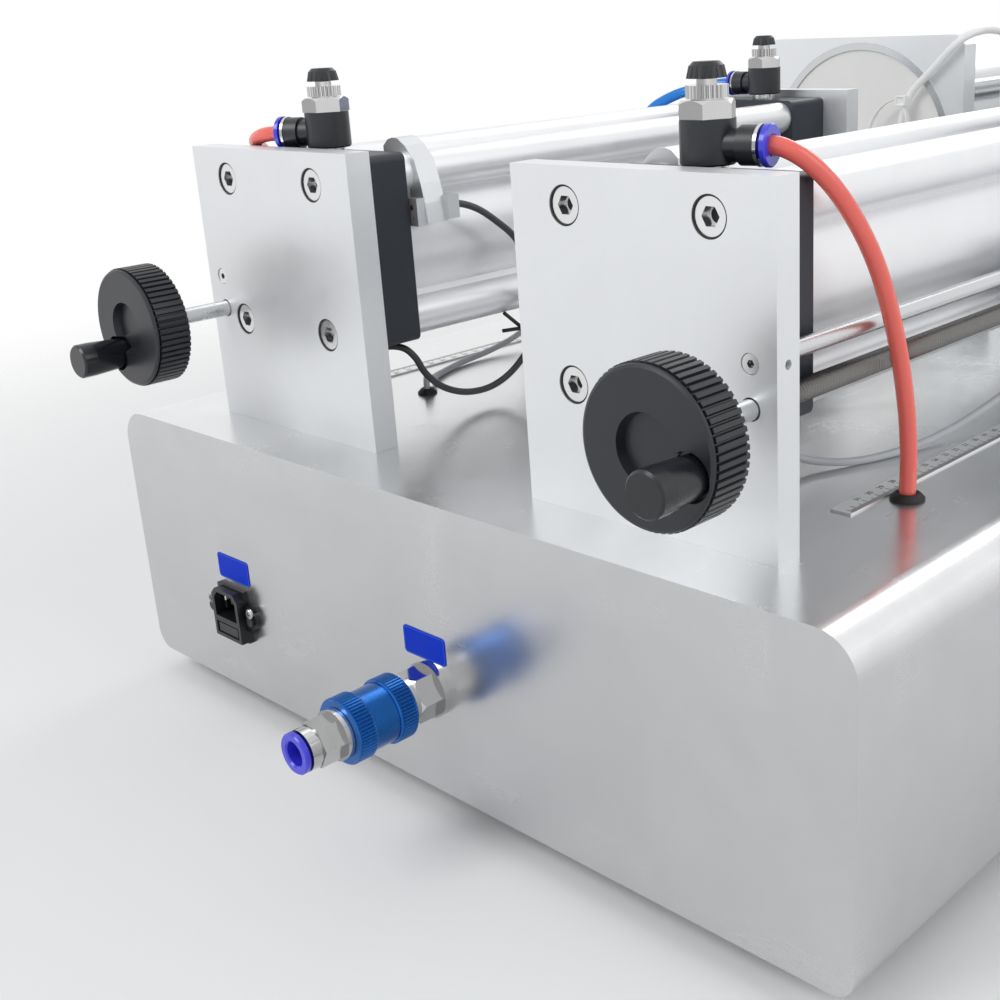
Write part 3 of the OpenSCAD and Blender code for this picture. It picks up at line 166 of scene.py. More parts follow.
class ShaderParts:
    """Node groups that several finishes share, each made once."""

    broad_share = 0.11
    smear_range = (0.36, 0.68)
    facing_range = (0.75, 0.95)
    groups: dict[str, Tree] = {}

    @classmethod
    def tree(cls, name: str) -> Tree:
        """Return the named group, making it at its first use."""
        if name not in cls.groups:
            cls.groups[name] = getattr(cls, "make_" + name)()
        return cls.groups[name]

    @staticmethod
    def new_group(
        name: str, inputs: dict[str, float | None], outputs: tuple[str, ...]
    ) -> tuple[Net, Node, Node]:
        """Make an empty shader group.

        Args:
            name: The group's name.
            inputs: Input names with their defaults; None makes a vector input.
            outputs: Names of the float outputs.

        Returns:
            The group's net, its input node and its output node.
        """
        tree = bpy.data.node_groups.new(name, "ShaderNodeTree")
        for label, default in inputs.items():
            kind = "NodeSocketVector" if default is None else "NodeSocketFloat"
            socket = tree.interface.new_socket(label, in_out="INPUT", socket_type=kind)
            if default is not None:
                socket.default_value = default
        for label in outputs:
            tree.interface.new_socket(label, in_out="OUTPUT", socket_type="NodeSocketFloat")
        return Net(tree), tree.nodes.new("NodeGroupInput"), tree.nodes.new("NodeGroupOutput")

    @classmethod
    def make_grain(cls) -> Tree:
        """Fine grain: a tone and a height from two sizes of noise."""
        net, source, target = cls.new_group(
            "fine_grain", {"Vector": None, "Scale": 600.0, "Coarse": 0.4}, ("Tone", "Height")
        )
        vector, scale, coarse = (source.outputs[name] for name in ("Vector", "Scale", "Coarse"))
        shrink = net.add("Math", {0: scale, 1: cls.broad_share}, operation="MULTIPLY")
        fine = net.add("TexNoise", {"Vector": vector, "Scale": scale, "Detail": 3.0})
        broad = net.add("TexNoise", {"Vector": vector, "Scale": shrink, "Detail": 2.0})
        tone = net.add("Mix", {0: coarse, 2: fine, 3: broad})
        net.feed(target, {"Tone": tone, "Height": fine})
        return net.tree

    @classmethod
    def make_handling(cls) -> Tree:
        """Handling marks: soft smears as one mask."""
        net, source, target = cls.new_group(
            "handling_marks", {"Vector": None, "Scale": 14.0}, ("Mask",)
        )
        inputs = {name: source.outputs[name] for name in ("Vector", "Scale")}
        inputs |= {"Detail": 5.0, "Roughness": 0.62, "Distortion": 0.8}
        smear = net.add("TexNoise", inputs)
        low, high = cls.smear_range
        spread = net.add("MapRange", {"Value": smear, "From Min": low, "From Max": high})
        net.feed(target, {"Mask": spread})
        return net.tree

    @classmethod
    def make_ends(cls) -> Tree:
        """Pick out the faces that look along the machine or to its sides, from the normal:
        masks for painted shade.
        """
        net, source, target = cls.new_group("painted_shade_faces", {"Vector": None}, ("Mask", "Sides"))
        split = net.add("SeparateXYZ", {0: source.outputs["Vector"]})
        low, high = cls.facing_range
        for axis, output in (("Y", "Mask"), ("X", "Sides")):
            size = net.add("Math", {0: split.outputs[axis]}, operation="ABSOLUTE")
            edge = net.add("MapRange", {"Value": size, "From Min": low, "From Max": high})
            net.feed(target, {output: edge})
        return net.tree


@dataclass(frozen=True)
class Finish:
    """One material: a colour, a shine and the grain that both follow.

    Attributes:
        name: The material's name.
        code: Screen colour of the clean surface.
        metallic: 1 for bare metal, 0 for paint, plastic and rubber.
        roughness: Middle roughness.
        spread: How far the roughness strays with the grain and the marks.
        tint: How far the colour strays with the grain.
        grain: The kind of grain.
        grain_scale: Grains in a metre.
        depth: Depth of the grain in micrometres.
        coat: Weight of a clear coat.
        glow_through: Weight of light that scatters under the surface.
        marks: Handling marks in a metre.
        end_tone: Brightness of painted shade on faces that look along the machine, set by their
            direction and not by the lamps; below 1, their grain turns.
        side_tone: Brightness of painted shade on faces that look to the sides, where end_tone
            is below 1.
        specular: Strength of the reflection of a surface that isn't metal.
    """

    name: str
    code: str
    metallic: float = 0.0
    roughness: float = 0.4
    spread: float = 0.08
    tint: float = 0.06
    grain: Grain = Grain.MOULDED
    grain_scale: float = 900.0
    depth: float = 20
    coat: float = 0.0
    glow_through: float = 0.0
    marks: float = 14.0
    end_tone: float = 1.0
    side_tone: float = 1.0
    specular: float = 0.5

    marks_share: ClassVar[float] = 0.45
    least_roughness: ClassVar[float] = 0.02
    bump_strength: ClassVar[float] = 0.35
    scatter_depth: ClassVar[float] = 3 * MM

    def build(self) -> Material:
        """Make the material's nodes.

        Returns:
            The finished material.
        """
        material = bpy.data.materials.new(self.name)
        material.use_nodes = True
        net = Net(material.node_tree)
        colour = linear(self.code)
        material.diffuse_color = (*colour, 1.0)
        where = net.add("TexCoord").outputs
        along = net.add("Mapping", {"Vector": where["Object"], "Scale": self.grain.stretch})
        marks = net.group("handling", {"Vector": where["Object"], "Scale": self.marks})
        grain = net.group("grain", {"Scale": self.grain_scale})
        both = net.add("Mix", {0: self.marks_share, 2: grain, 3: marks})
        dark, light = (
            (*(min(1.0, c * (1 + change)) for c in colour), 1)
            for change in (-self.tint, self.tint)
        )
        tone = net.mix(both, dark, light)
        if self.end_tone < 1.0:
            stretch = Grain.BRUSHED_ACROSS.stretch
            across = net.add("Mapping", {"Vector": where["Object"], "Scale": stretch})
            ends = net.group("ends", {"Vector": where["Normal"]}).outputs
            pick = net.add("Mix", {0: ends["Mask"], 4: along, 5: across}, data_type="VECTOR")
            net.feed(grain, {"Vector": pick.outputs[1]})
            # Painted shade: faces that look along the machine or to its sides are darkened by
            # their direction alone, not by the lamps.
            for mask, level in (("Mask", self.end_tone), ("Sides", self.side_tone)):
                tone = net.mix(ends[mask], tone, (level, level, level, 1), "MULTIPLY")
        else:
            net.feed(grain, {"Vector": along})
        smoothest = max(self.least_roughness, self.roughness - self.spread)
        roughest = self.roughness + self.spread
        rough = net.add("MapRange", {"Value": both, "To Min": smoothest, "To Max": roughest})
        height = {"Distance": self.depth * MICRON, "Height": grain.outputs["Height"]}
        inputs = {
            "Base Color": tone,
            "Metallic": self.metallic,
            "Roughness": rough,
            "Normal": net.add("Bump", {"Strength": self.bump_strength, **height}),
            "Specular IOR Level": self.specular,
            "Subsurface Weight": self.glow_through,
            "Subsurface Scale": self.scatter_depth,
            "Coat Weight": self.coat,
        }
        net.feed(net.tree.nodes["Principled BSDF"], inputs)
        return material


@dataclass(frozen=True)
class CordFinish(Finish):
    """A smooth tube or cable jacket, slightly uneven."""

    spread: float = 0.06
    tint: float = 0.05
    grain_scale: float = 500.0
    depth: float = 12
    marks: float = 30.0


FINISHES = {finish.name: finish for finish in (
    # base_sheet: painted shade darkens the panel's end faces and its sides by their direction.
    Finish(
        "base_sheet", "e6e7e8", 0.92, 0.25, 0.07, 0.07, Grain.BRUSHED_LONG, 2600, 25,
        end_tone=0.76, side_tone=0.78,
    ),
    Finish("cover_sheet", "c4c6c8", 1, 0.38, 0.08, 0.05, Grain.BRUSHED_LONG, 1800),
    Finish("foot_rubber", "1c1c1e", 0, 0.75, 0.12, 0.25, depth=60),
    Finish("machined_plate", "e6e8ea", 0.65, 0.4, 0.1, 0.04, Grain.BLASTED, 2600, 30),
    Finish("cap_black", "252a33", 0.1, 0.42, 0.08, 0.12, depth=30),
    Finish("barrel_silver", "eeeff1", 0.65, 0.36, 0.06, 0.04, Grain.BRUSHED_LONG, 2200, 15),
    Finish("screw_steel", "dedfe0", 1, 0.26, 0.08, 0.08, Grain.TURNED, 1400),
    Finish("product_steel", "cbcdcf", 1, 0.24, 0.06, 0.05, Grain.BRUSHED_LONG, 1500, 10),
    Finish("rod_chrome", "cfd0d2", 1, 0.27, 0.06, 0.04, Grain.TURNED, 1200, 6),
    Finish("screw_dark", "7e7d7b", 0.95, 0.3, 0.08, 0.14, Grain.TURNED, 900, 20),
    Finish("bush_bronze", "b98d4c", 1, 0.34, 0.1, 0.1, Grain.TURNED, 900),
    Finish("elbow_black", "23262b", 0, 0.36, 0.08, 0.14, depth=30),
    Finish("knob_black", "212429", 0, 0.4, 0.08, 0.14, depth=30),
    # nickel: painted dark reflection on the facets that look along the machine and, less, on
    # those that look to the sides.
    Finish(
        "nickel", "d4d4d4", 1, 0.16, 0.06, 0.1, Grain.TURNED, 1500, 10, end_tone=0.55,
        side_tone=0.85,
    ),
    Finish("grommet_black", "141416", 0, 0.6, 0.1, 0.25),
    Finish("scale_steel", "eceded", 0.7, 0.34, 0.06, 0.03, Grain.BRUSHED_LONG, 2000, 10),
    Finish("inlet_plastic", "17181b", 0, 0.38, 0.08, 0.18, depth=40),
    Finish("clamp_silver", "d6d8da", 0.75, 0.36, 0.08, 0.05, Grain.BLASTED, 2000),
    Finish("unit_grey", "b7babf", 0.6, 0.4, 0.08, 0.06, Grain.BLASTED, 900),
    Finish("wheel_black", "212329", 0, 0.36, 0.08, 0.16, depth=40),
    Finish("grip_black", "1b1d22", 0, 0.28, 0.08, 0.12, depth=20),
    Finish("piston_white", "f1f1ee", 0, 0.45, 0.08, 0.03, Grain.TURNED, 700),
    Finish("collet_violet", "3d3ee0", 0, 0.22, 0.06, 0.08, coat=0.3),
    Finish("sleeve_blue", "0c60b0", 0.85, 0.26, 0.07, 0.1, Grain.TURNED, 900, 10, 0.3),
    Finish("plunger_steel", "b6b8ba", 1, 0.27, 0.06, 0.06, Grain.TURNED),
    Finish("rocker_red", "b5211c", 0, 0.25, 0.06, 0.08, coat=0.4),
    CordFinish("tube_red", "ff7468", roughness=0.14, glow_through=0.3),
    CordFinish("tube_blue", "0a84e0", roughness=0.24, glow_through=0.25),
    CordFinish("cable_grey", "c2c5c9", roughness=0.42, glow_through=0.05),
    CordFinish("cable_dark", "3a3c40", roughness=0.42, glow_through=0.02),
    CordFinish("tube_clear", "fdfdfc", roughness=0.35, glow_through=0),
    # From here on, finishes of pieces that the CAD model doesn't have
    Finish("label_blue", "0334c8", 0, 0.5, 0.06, 0.08, marks=60, specular=0.1),
    Finish("label_edge", "3f74e6", 0, 0.5, 0.05, 0.05, specular=0.1),
    Finish("tick_black", "0b0b0c", 0, 0.5, 0.06, 0.2),
    Finish("tie_white", "fbfbf9", 0, 0.4, 0.06, 0.02),
    Finish("pin_brass", "f2efe4", 0.8, 0.25, 0.06, 0.06, Grain.BLASTED),
    Finish("tie_black", "1a1b1d", 0, 0.42, 0.06, 0.15),
    Finish("lamp_red", "4a0c0c", 0, 0.14, 0.04, 0.05, coat=0.6),
)}

BROKEN_EDGES = {"head_plates": 0.35 * MM, "product_plates": 0.35 * MM}


class Workshop:
    """Keeps the materials, and places them on CAD nodes and new pieces."""

    weld_distance = 0.005 * MM
    edge_angle = math.radians(60)
    materials: dict[str, Material] = {}

    @classmethod
    def dress(cls, obj: Object, *names: str) -> None:
        """Give an object these finishes, in the order of its material slots."""
        obj.data.materials.clear()
        for name in names:
            if name not in cls.materials:
                cls.materials[name] = FINISHES[name].build()
            obj.data.materials.append(cls.materials[name])

    @classmethod
    def fit(
        cls, name: str, parts: list[Object], slot: str, *finishes: str, degrees: float = 40.0
    ) -> None:
        """Join, shade and finish a piece that stays on the machine's frame.

        Args:
            name: The piece's name.
            parts: Its parts.
            slot: The record's material slot; not used.
            finishes: Names of its finishes.
            degrees: Angle up to which its edges are shaded smooth; 0 leaves them.
        """
        piece = Bench.join(name, parts) if parts[1:] else parts[0]
        if degrees:
            Bench.smooth(piece, degrees)
        cls.dress(piece, *finishes)
        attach(piece, "machine")
        LOG.info("piece: %s", name)

    @classmethod
    def break_edges(cls, widths: dict[str, float]) -> None:
        """Give CAD nodes narrow chamfers that catch the light, by live modifiers."""
        for name, width in widths.items():
            obj = frame["nodes"][name]
            weld = obj.modifiers.new("weld", "WELD")
            weld.merge_threshold = cls.weld_distance
            bevel = obj.modifiers.new("bevel", "BEVEL")
            bevel.width = width
            bevel.segments = 2
            bevel.limit_method = "ANGLE"
            bevel.angle_limit = cls.edge_angle
            bevel.harden_normals = True

    @classmethod
    def dress_nodes(cls) -> None:
        """Give every CAD node the finish of its material slot in the record."""
        for entry in frame["record"]["subparts"]:
            cls.dress(frame["nodes"][entry["node"]], entry["material_slot"])


# Modelling


class Bench:
    """Modelling steps that the pieces share."""

    @staticmethod
    def clear() -> None:
        """Leave edit mode and deselect everything."""
        if bpy.context.object is not None and bpy.context.object.mode != "OBJECT":
            bpy.ops.object.mode_set(mode="OBJECT")
        bpy.ops.object.select_all(action="DESELECT")

    @classmethod
    def pick(cls, *objects: Object) -> None:
        """Select only these objects, with the first one active."""
        cls.clear()
        for obj in objects:
            obj.select_set(True)
        bpy.context.view_layer.objects.active = objects[0]

    @staticmethod
    @contextmanager
    def editing() -> Iterator[None]:
        """Work on the active object in edit mode."""
        bpy.ops.object.mode_set(mode="EDIT")
        yield
        bpy.ops.object.mode_set(mode="OBJECT")

    @classmethod
    def choose(cls, obj: Object, kind: str, test: Callable[[object], bool]) -> None:
        """Select a piece's edges or faces for the next edit.

        Args:
            obj: The piece.
            kind: EDGE or FACE.
            test: Says of an edge or a face whether it is selected.
        """
        cls.pick(obj)
        with cls.editing():
            bpy.ops.mesh.select_mode(type=kind)
            bpy.ops.mesh.select_all(action="DESELECT")
        for item in obj.data.edges if kind == "EDGE" else obj.data.polygons:
            item.select = test(item)

    @staticmethod
    def face_out() -> None:
        """Turn all faces outwards, in edit mode."""
        bpy.ops.mesh.select_all(action="SELECT")
        bpy.ops.mesh.normals_make_consistent(inside=False)

    @staticmethod
    def extrude(step: Vector | Point) -> None:
        """Extrude what is selected, in edit mode."""
        bpy.ops.mesh.extrude_region_move(TRANSFORM_OT_translate={"value": tuple(step)})

    @classmethod
    def take(cls, name: str) -> Object:
        """Name the active object and bake its place into its mesh.

        Args:
            name: The piece's name.

        Returns:
            The piece, at the origin, unturned and unscaled.
        """
        obj = bpy.context.object
        obj.name = name
        obj.data.name = name
        bpy.ops.object.transform_apply(location=True, rotation=True, scale=True)
        return obj

    @classmethod
    def block(cls, name: str, middle: Point, size: Point) -> Object:
        """Add a box."""
        cls.clear()
        bpy.ops.mesh.primitive_cube_add(size=1, location=middle)
        bpy.context.object.scale = size
        return cls.take(name)

    @classmethod
    def rod(cls, name: str, start: Point, end: Point, radius: float, sides: int = 32) -> Object:
        """Add a round rod between two points."""
        cls.clear()
        a, b = Vector(start), Vector(end)
        bpy.ops.mesh.primitive_cylinder_add(
            vertices=sides, radius=radius, depth=(b - a).length, location=(a + b) / 2
        )
        bpy.context.object.rotation_euler = (b - a).to_track_quat("Z", "Y").to_euler()
        return cls.take(name)

    @classmethod
    def apply(cls, obj: Object, kind: str, **values: object) -> None:
        """Add a modifier with these values and apply it."""
        cls.pick(obj)
        modifier = obj.modifiers.new(kind.lower(), kind)
        for key, value in values.items():
            setattr(modifier, key, value)
        bpy.ops.object.modifier_apply(modifier=modifier.name)

    @classmethod
    def round_edges(cls, obj: Object, width: float, segments: int, **values: object) -> None:
        """Round a piece's sharp edges."""
        cls.apply(obj, "BEVEL", width=width, segments=segments, limit_method="ANGLE", **values)

    @classmethod
    def carve(cls, obj: Object, tool: Object) -> None:
        """Cut a piece with a tool that is then thrown away."""
        cls.apply(obj, "BOOLEAN", object=tool, operation="DIFFERENCE", solver="EXACT")
        bpy.data.objects.remove(tool)

    @classmethod
    def join(cls, name: str, parts: list[Object]) -> Object:
        """Join several objects into one piece."""
        cls.pick(*parts)
        bpy.ops.object.join()
        return cls.take(name)

    @classmethod
    def smooth(cls, obj: Object, degrees: float) -> None:
        """Shade a piece smooth, with its edges sharp."""
        cls.pick(obj)
        bpy.ops.object.shade_smooth_by_angle(angle=math.radians(degrees))

    @classmethod
    def line(cls, name: str, points: list[Vector]) -> Object:
        """Draw a line of edges: a plane merged to one vertex, extruded from point to point.

        Args:
            name: The line's name.
            points: The line's points, in order.

        Returns:
            The line, at the origin.
        """
        cls.clear()
        bpy.ops.mesh.primitive_plane_add(size=MM, location=points[0])
        with cls.editing():
            bpy.ops.mesh.select_mode(type="VERT")
            bpy.ops.mesh.select_all(action="SELECT")
            bpy.ops.mesh.merge(type="CENTER")
            for here, there in zip(points, points[1:]):
                cls.extrude(there - here)
        return cls.take(name)

    @staticmethod
    def curve(points: list[Vector], steps: int, power: float) -> list[Vector]:
        """Pass one smooth curve through the points between the first and the last.

        Args:
            points: The points. The first and the last only steer the curve's ends.
            steps: Pieces from each point to the next.
            power: 0.5 for a centripetal spline, 0 for an even one.

        Returns:
            The curve's points, but not the one at its end.
        """
        line = []
        for p0, p1, p2, p3 in zip(points, points[1:], points[2:], points[3:]):
            d0, d1, d2 = ((b - a).length ** power for a, b in ((p0, p1), (p1, p2), (p2, p3)))
            m1 = (p1 - p0) / d0 - (p2 - p0) / (d0 + d1) + (p2 - p1) / d1
            m2 = (p2 - p1) / d1 - (p3 - p1) / (d1 + d2) + (p3 - p2) / d2
            m1, m2 = m1 * d1, m2 * d1
            for k in range(steps):
                t = k / steps
                a = 2 * t**3 - 3 * t**2 + 1
                b = t**3 - 2 * t**2 + t
                c = t**3 - t**2
                line.append(a * p1 + b * m1 + (1 - a) * p2 + c * m2)
        return line


class Layout:
    """Stations and heights of the machine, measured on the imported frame."""

    pointer = 1.5 * MM

    def __init__(self) -> None:
        """Measure the frame."""
        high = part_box("base_housing")[1]
        self.rear_y = high.y
        self.base_top = high.z
        self.head_x = self.middle("right_piston_rod", 0)
        self.head_z = self.middle("right_piston_rod", 2)
        self.rear_port_b = high.y - self.middle("rear_right_knob", 1)
        self.front_port_b = high.y - self.middle("front_right_knob", 1)
        self.slider_b = high.y - self.middle("right_slider", 1) + self.pointer / 2
        self.product_b = high.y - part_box("product_plates")[1].y

    @staticmethod
    def middle(node: str, axis: int) -> float:
        """Return the middle of a node's box along an axis."""
        low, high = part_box(node)
        return (low[axis] + high[axis]) / 2


@dataclass(frozen=True)
class Head:
    """One of the two heads, with its own frame."""

    layout: Layout
    side: int

    def named(self, part: str) -> str:
        """Return a part's name with the head's side in front."""
        return SIDE_NAMES[self.side] + "_" + part

    def at(self, u: float, b: float, z: float) -> Vector:
        """Turn a point of the head's frame into the machine's frame."""
        plan = self.layout
        return Vector((self.side * (plan.head_x + u), plan.rear_y - b, plan.head_z + z))

    def on_base(self, u: float, b: float, rise: float) -> Vector:
        """Turn a point above the base's top into the machine's frame."""
        return self.at(u, b, self.layout.base_top - self.layout.head_z + rise)


# Camera, light and floor


@dataclass
class Studio:
    """The camera at the photograph's viewpoint, soft lamps and a pale floor."""

    position: Point = (-0.5091, 0.9005, 0.3936)
    turns: Point = (-45.889, -18.587, -2.869)
    focal_pixels: float = 1348.6
    frame_pixels: float = 1000.0
    centre_pixels: Pair = (600.0, 470.0)
    sensor: float = 36.0
    clip: Pair = (0.01, 60.0)
    lamps: tuple[tuple[str, Point, float, float], ...] = (
        ("key", (0.7, 2.4, 2.2), 1.3, 29.0),
        ("fill", (-2.4, -0.3, 1.6), 1.8, 17.0),
        ("rim", (0.6, -2.2, 1.9), 1.4, 14.0),
    )
    aim: Point = (0.0, 0.2, 0.15)
    sky: tuple[float, ...] = (0.9, 0.91, 0.93, 1)
    sky_strength: float = 0.6
    floor_tone: tuple[float, ...] = (0.9, 0.9, 0.9, 1)
    floor_size: float = 6.0
    floor_roughness: float = 0.7
    floor_shine: float = 0.2
    fade: Pair = (0.7, 1.5)

    def build_camera(self) -> None:
        """Place the camera from its measured position, turn and focal length."""
        yaw, pitch, roll = (math.radians(turn) for turn in self.turns)
        turn = (
            Matrix.Rotation(yaw - math.pi / 2, 4, "Z")
            @ Matrix.Rotation(pitch + math.pi / 2, 4, "X")
            @ Matrix.Rotation(roll, 4, "Z")
        )
        data = bpy.data.cameras.new("camera")
        camera = bpy.data.objects.new("camera", data)
        bpy.context.scene.collection.objects.link(camera)
        camera.matrix_world = Matrix.Translation(self.position) @ turn
        data.sensor_width = self.sensor
        data.lens = self.focal_pixels * self.sensor / self.frame_pixels
        half = self.frame_pixels / 2
        data.shift_x = (half - self.centre_pixels[0]) / self.frame_pixels
        data.shift_y = (self.centre_pixels[1] - half) / self.frame_pixels
        data.clip_start, data.clip_end = self.clip
        bpy.context.scene.camera = camera

    def lamp(self, name: str, place: Point, size: float, power: float) -> None:
        """Add one square soft lamp that faces the machine's middle."""
        data = bpy.data.lights.new(name, "AREA")
        data.size = size
        data.energy = power
        lamp = bpy.data.objects.new(name, data)
        bpy.context.scene.collection.objects.link(lamp)
        lamp.location = place
        aim = Vector(self.aim) - Vector(place)
        lamp.rotation_mode = "QUATERNION"
        lamp.rotation_quaternion = aim.to_track_quat("-Z", "Y")

    def build_world(self) -> None:
        """Make a pale surround that the camera sees as white."""
        world = bpy.data.worlds.new("surround")
        bpy.context.scene.world = world
        world.use_nodes = True
        net = Net(world.node_tree)
        background = net.tree.nodes["Background"]
        soft = net.feed(background, {"Color": self.sky, "Strength": self.sky_strength})
        white = net.add("Background", {"Color": (1, 1, 1, 1), "Strength": 1.0})
        rays = net.add("LightPath").outputs
        seen = rays["Is Camera Ray"]
        for kind in ("Is Glossy Ray", "Is Transmission Ray"):
            seen = net.add("Math", {0: seen, 1: rays[kind]}, operation="MAXIMUM")
        mix = net.add("MixShader", {0: seen, 1: soft, 2: white})
        net.feed(net.tree.nodes["World Output"], {"Surface": mix})

    def build_floor(self) -> None:
        """Lay the pale floor under the feet; it fades into the surround."""
        Bench.clear()
        bpy.ops.mesh.primitive_plane_add(size=self.floor_size, location=(0, 0, 0))
        floor = Bench.take("floor")
        material = bpy.data.materials.new("floor")
        material.use_nodes = True
        net = Net(material.node_tree)
        where = net.add("TexCoord").outputs["Object"]
        away = net.add("VectorMath", {0: where}, operation="LENGTH").outputs["Value"]
        start, end = self.fade
        fade = net.add(
            "MapRange",
            {"Value": away, "From Min": start, "From Max": end, "To Min": 1.0, "To Max": 0.0},
            interpolation_type="SMOOTHSTEP",
        )
        inputs = {
            "Base Color": self.floor_tone,
            "Roughness": self.floor_roughness,
            "Specular IOR Level": self.floor_shine,
            "Alpha": fade,
        }
        net.feed(net.tree.nodes["Principled BSDF"], inputs)
        floor.data.materials.append(material)

    def build(self) -> None:
        """Make the camera, the lamps, the surround and the floor."""
        bpy.context.scene.view_settings.view_transform = "Standard"
        self.build_camera()
        self.build_world()
        self.build_floor()
        for lamp in self.lamps:
            self.lamp(*lamp)
        LOG.info("studio: camera, three lamps, surround and floor")


# Tubes and cables

# The cords' points in millimetres: outward offset, distance forwards from the cord's station
# and height above the base's top
TUBE_POINTS: dict[tuple[str, int], tuple[Point, ...]] = {
    ("red", LEFT): (
        (23, 2.2, 164.5), (32.1, 4.2, 164.5), (42.8, 6.4, 164.5), (51, 11.5, 160),
        (57.5, 21.5, 149.5), (63, 32, 134), (67.5, 43, 113), (70.2, 54, 84), (71.1, 63, 52),
        (71.5, 67, 24), (71.5, 67, 1),
    ),
    ("red", RIGHT): (
        (-3.5, -4.2, 164.5), (5.6, -8.4, 164.5), (15.6, -13.1, 164.5), (27, -15.3, 163.5),
        (41, -12, 160), (52, -3, 155.5), (60, 10, 144.5), (65.5, 25, 126), (68.5, 40, 101),
        (70.7, 53, 73), (71.4, 64, 42), (71.5, 67, 18), (71.5, 67, 1),
    ),
    ("blue", LEFT): (
        (22.5, 0, 164.5), (32.5, 0, 164.5), (43.5, 0, 164.5), (53, -5, 160.5), (62, -15.5, 150),
        (68, -28, 134), (72, -43, 110), (73.3, -56, 80), (72.8, -65, 46), (71.5, -68, 18),
        (71.5, -68, 1),
    ),
    ("blue", RIGHT): (
        (-2.5, -0.5, 164.5), (7.5, -1, 164.5), (18.5, -1.6, 164.5), (30, -5, 163.5),
        (42, -11.5, 161), (57, -20, 157), (68.5, -38, 146), (72, -53, 121), (73, -63, 88),
        (72.5, -67.5, 52), (71.5, -68, 20), (71.5, -68, 1),
    ),
}
SENSOR_POINTS: tuple[Point, ...] = (
    (-57, 47, 121.5), (-57, 52, 121.5), (-60, 62, 117.5), (-63, 74, 108.5), (-65, 84, 99),
    (-65, 93, 85), (-63, 100, 68), (-59, 104, 50), (-54, 104, 33), (-48.5, 98, 20),
    (-46.5, 87, 12), (-46, 72, 8.2), (-46, 53, 10), (-46, 36, 17.5), (-46, 24.5, 28.5),
    (-45, 19.5, 38), (-41, 15.5, 43.5), (-34, 9, 45), (-27, 2.5, 41), (-22.5, -3, 30),
    (-22, -4, 15), (-22, -4, 1),
)
SLIDER_POINTS: tuple[Point, ...] = (
    (54, 0, 48.5), (54, 0, 43), (53, -6, 31), (50, -16, 18), (44, -37, 9), (40, -67, 4),
    (35, -100, 2.3), (24, -129, 2.3), (12, -145, 5), (3, -156, 9.5), (0, -159, 7), (0, -159, 1),
)
NOZZLE_POINTS: tuple[Point, ...] = (
    (-45, -40.5, 1), (-45, -40.5, 16), (-45, -27, 55), (-45, -11, 110), (-51, -6.5, 143),
    (-73, -6.5, 166), (-97, -5, 188), (-105, 9.5, 193), (-104, 44.5, 191), (-100, 150, 178),
    (-96, 250, 176), (-90, 345, 192), (-74, 430, 244), (-54, 480, 282), (-37, 493, 293),
    (-28, 493, 293),
)


@dataclass(frozen=True)
class Route:
    """One cord of a head.

    Attributes:
        node: Name of the CAD node that the cord replaces.
        head: The head that it belongs to.
        station: Distance b of the fitting that the points are measured from.
        radius: Radius of the cord.
        points: Its points, in millimetres.
        finish: Name of the finish.
        stiffness: How stiff it is; not used.
        moving: Body that carries its first end, where that isn't the machine.
    """

    node: str
    head: Head
    station: float
    radius: float
    points: tuple[Point, ...]
    finish: str
    stiffness: str
    moving: str = ""


@dataclass
class Cords:
    """The air tubes and cables between fittings and grommets."""

    heads: list[Head]
    steps: int = 6
    power: float = 0.5
    roundness: int = 6
    tube: float = 4 * MM
    thin_tube: float = 3 * MM
    cable: float = 2 * MM

    def routes(self) -> list[Route]:
        """List the cords of both heads."""
        plan = self.heads[0].layout
        routes = [
            Route(head.named(colour + "_tube"), head, station, self.tube,
                  TUBE_POINTS[colour, head.side], "tube_" + colour, "stiff")
            for colour, station in (("red", plan.rear_port_b), ("blue", plan.front_port_b))
            for head in self.heads
        ]
        for head in self.heads:
            routes += [
                Route(head.named("sensor_cable"), head, plan.rear_port_b, self.cable,
                      SENSOR_POINTS, "cable_dark", "medium"),
                Route(head.named("slider_cable"), head, plan.slider_b, self.cable,
                      SLIDER_POINTS, "cable_grey", "medium", head.named("slider_body")),
                Route(head.named("nozzle_tube"), head, plan.product_b, self.thin_tube,
                      NOZZLE_POINTS, "tube_clear", "stiff"),
            ]
        return routes

    def make(self, route: Route) -> None:
        """Args:
            route: The cord's points, sizes and finish.
        """
        points = [
            route.head.on_base(u * MM, route.station + b * MM, rise * MM)
            for u, b, rise in route.points
        ]
        ends = [2 * points[0] - points[1], *points, 2 * points[-1] - points[-2]]
        line = [*Bench.curve(ends, self.steps, self.power), points[-1]]
        data = bpy.data.curves.new(route.node, "CURVE")
        data.dimensions = "3D"
        data.bevel_depth = route.radius
        data.bevel_resolution = self.roundness
        data.use_fill_caps = True
        spline = data.splines.new("POLY")
        spline.points.add(len(line) - 1)
        for place, point in zip(spline.points, line):
            place.co = (*point, 1)
        spline.use_smooth = True
        cord = bpy.data.objects.new(route.node + "_cord", data)
        bpy.context.scene.collection.objects.link(cord)
        if route.moving:
            Bench.pick(cord)
            bpy.ops.object.convert(target="MESH")
            cord = bpy.context.object
            cord.data.name = cord.name
        Workshop.dress(cord, route.finish)
        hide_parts(route.node)
        if route.moving:
            tuple(points[2])
            tuple(points[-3])
            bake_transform(cord)
        else:
            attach(cord, "machine")
        tuple(points[0])
        sum((b - a).length for a, b in zip(line, line[1:]))
        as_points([tuple(point) for point in line] if route.moving else None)

    def build(self) -> None:
        """Build every cord."""
        for route in self.routes():
            self.make(route)
            LOG.info("cord: %s", route.node)


# Labels, scales and small parts


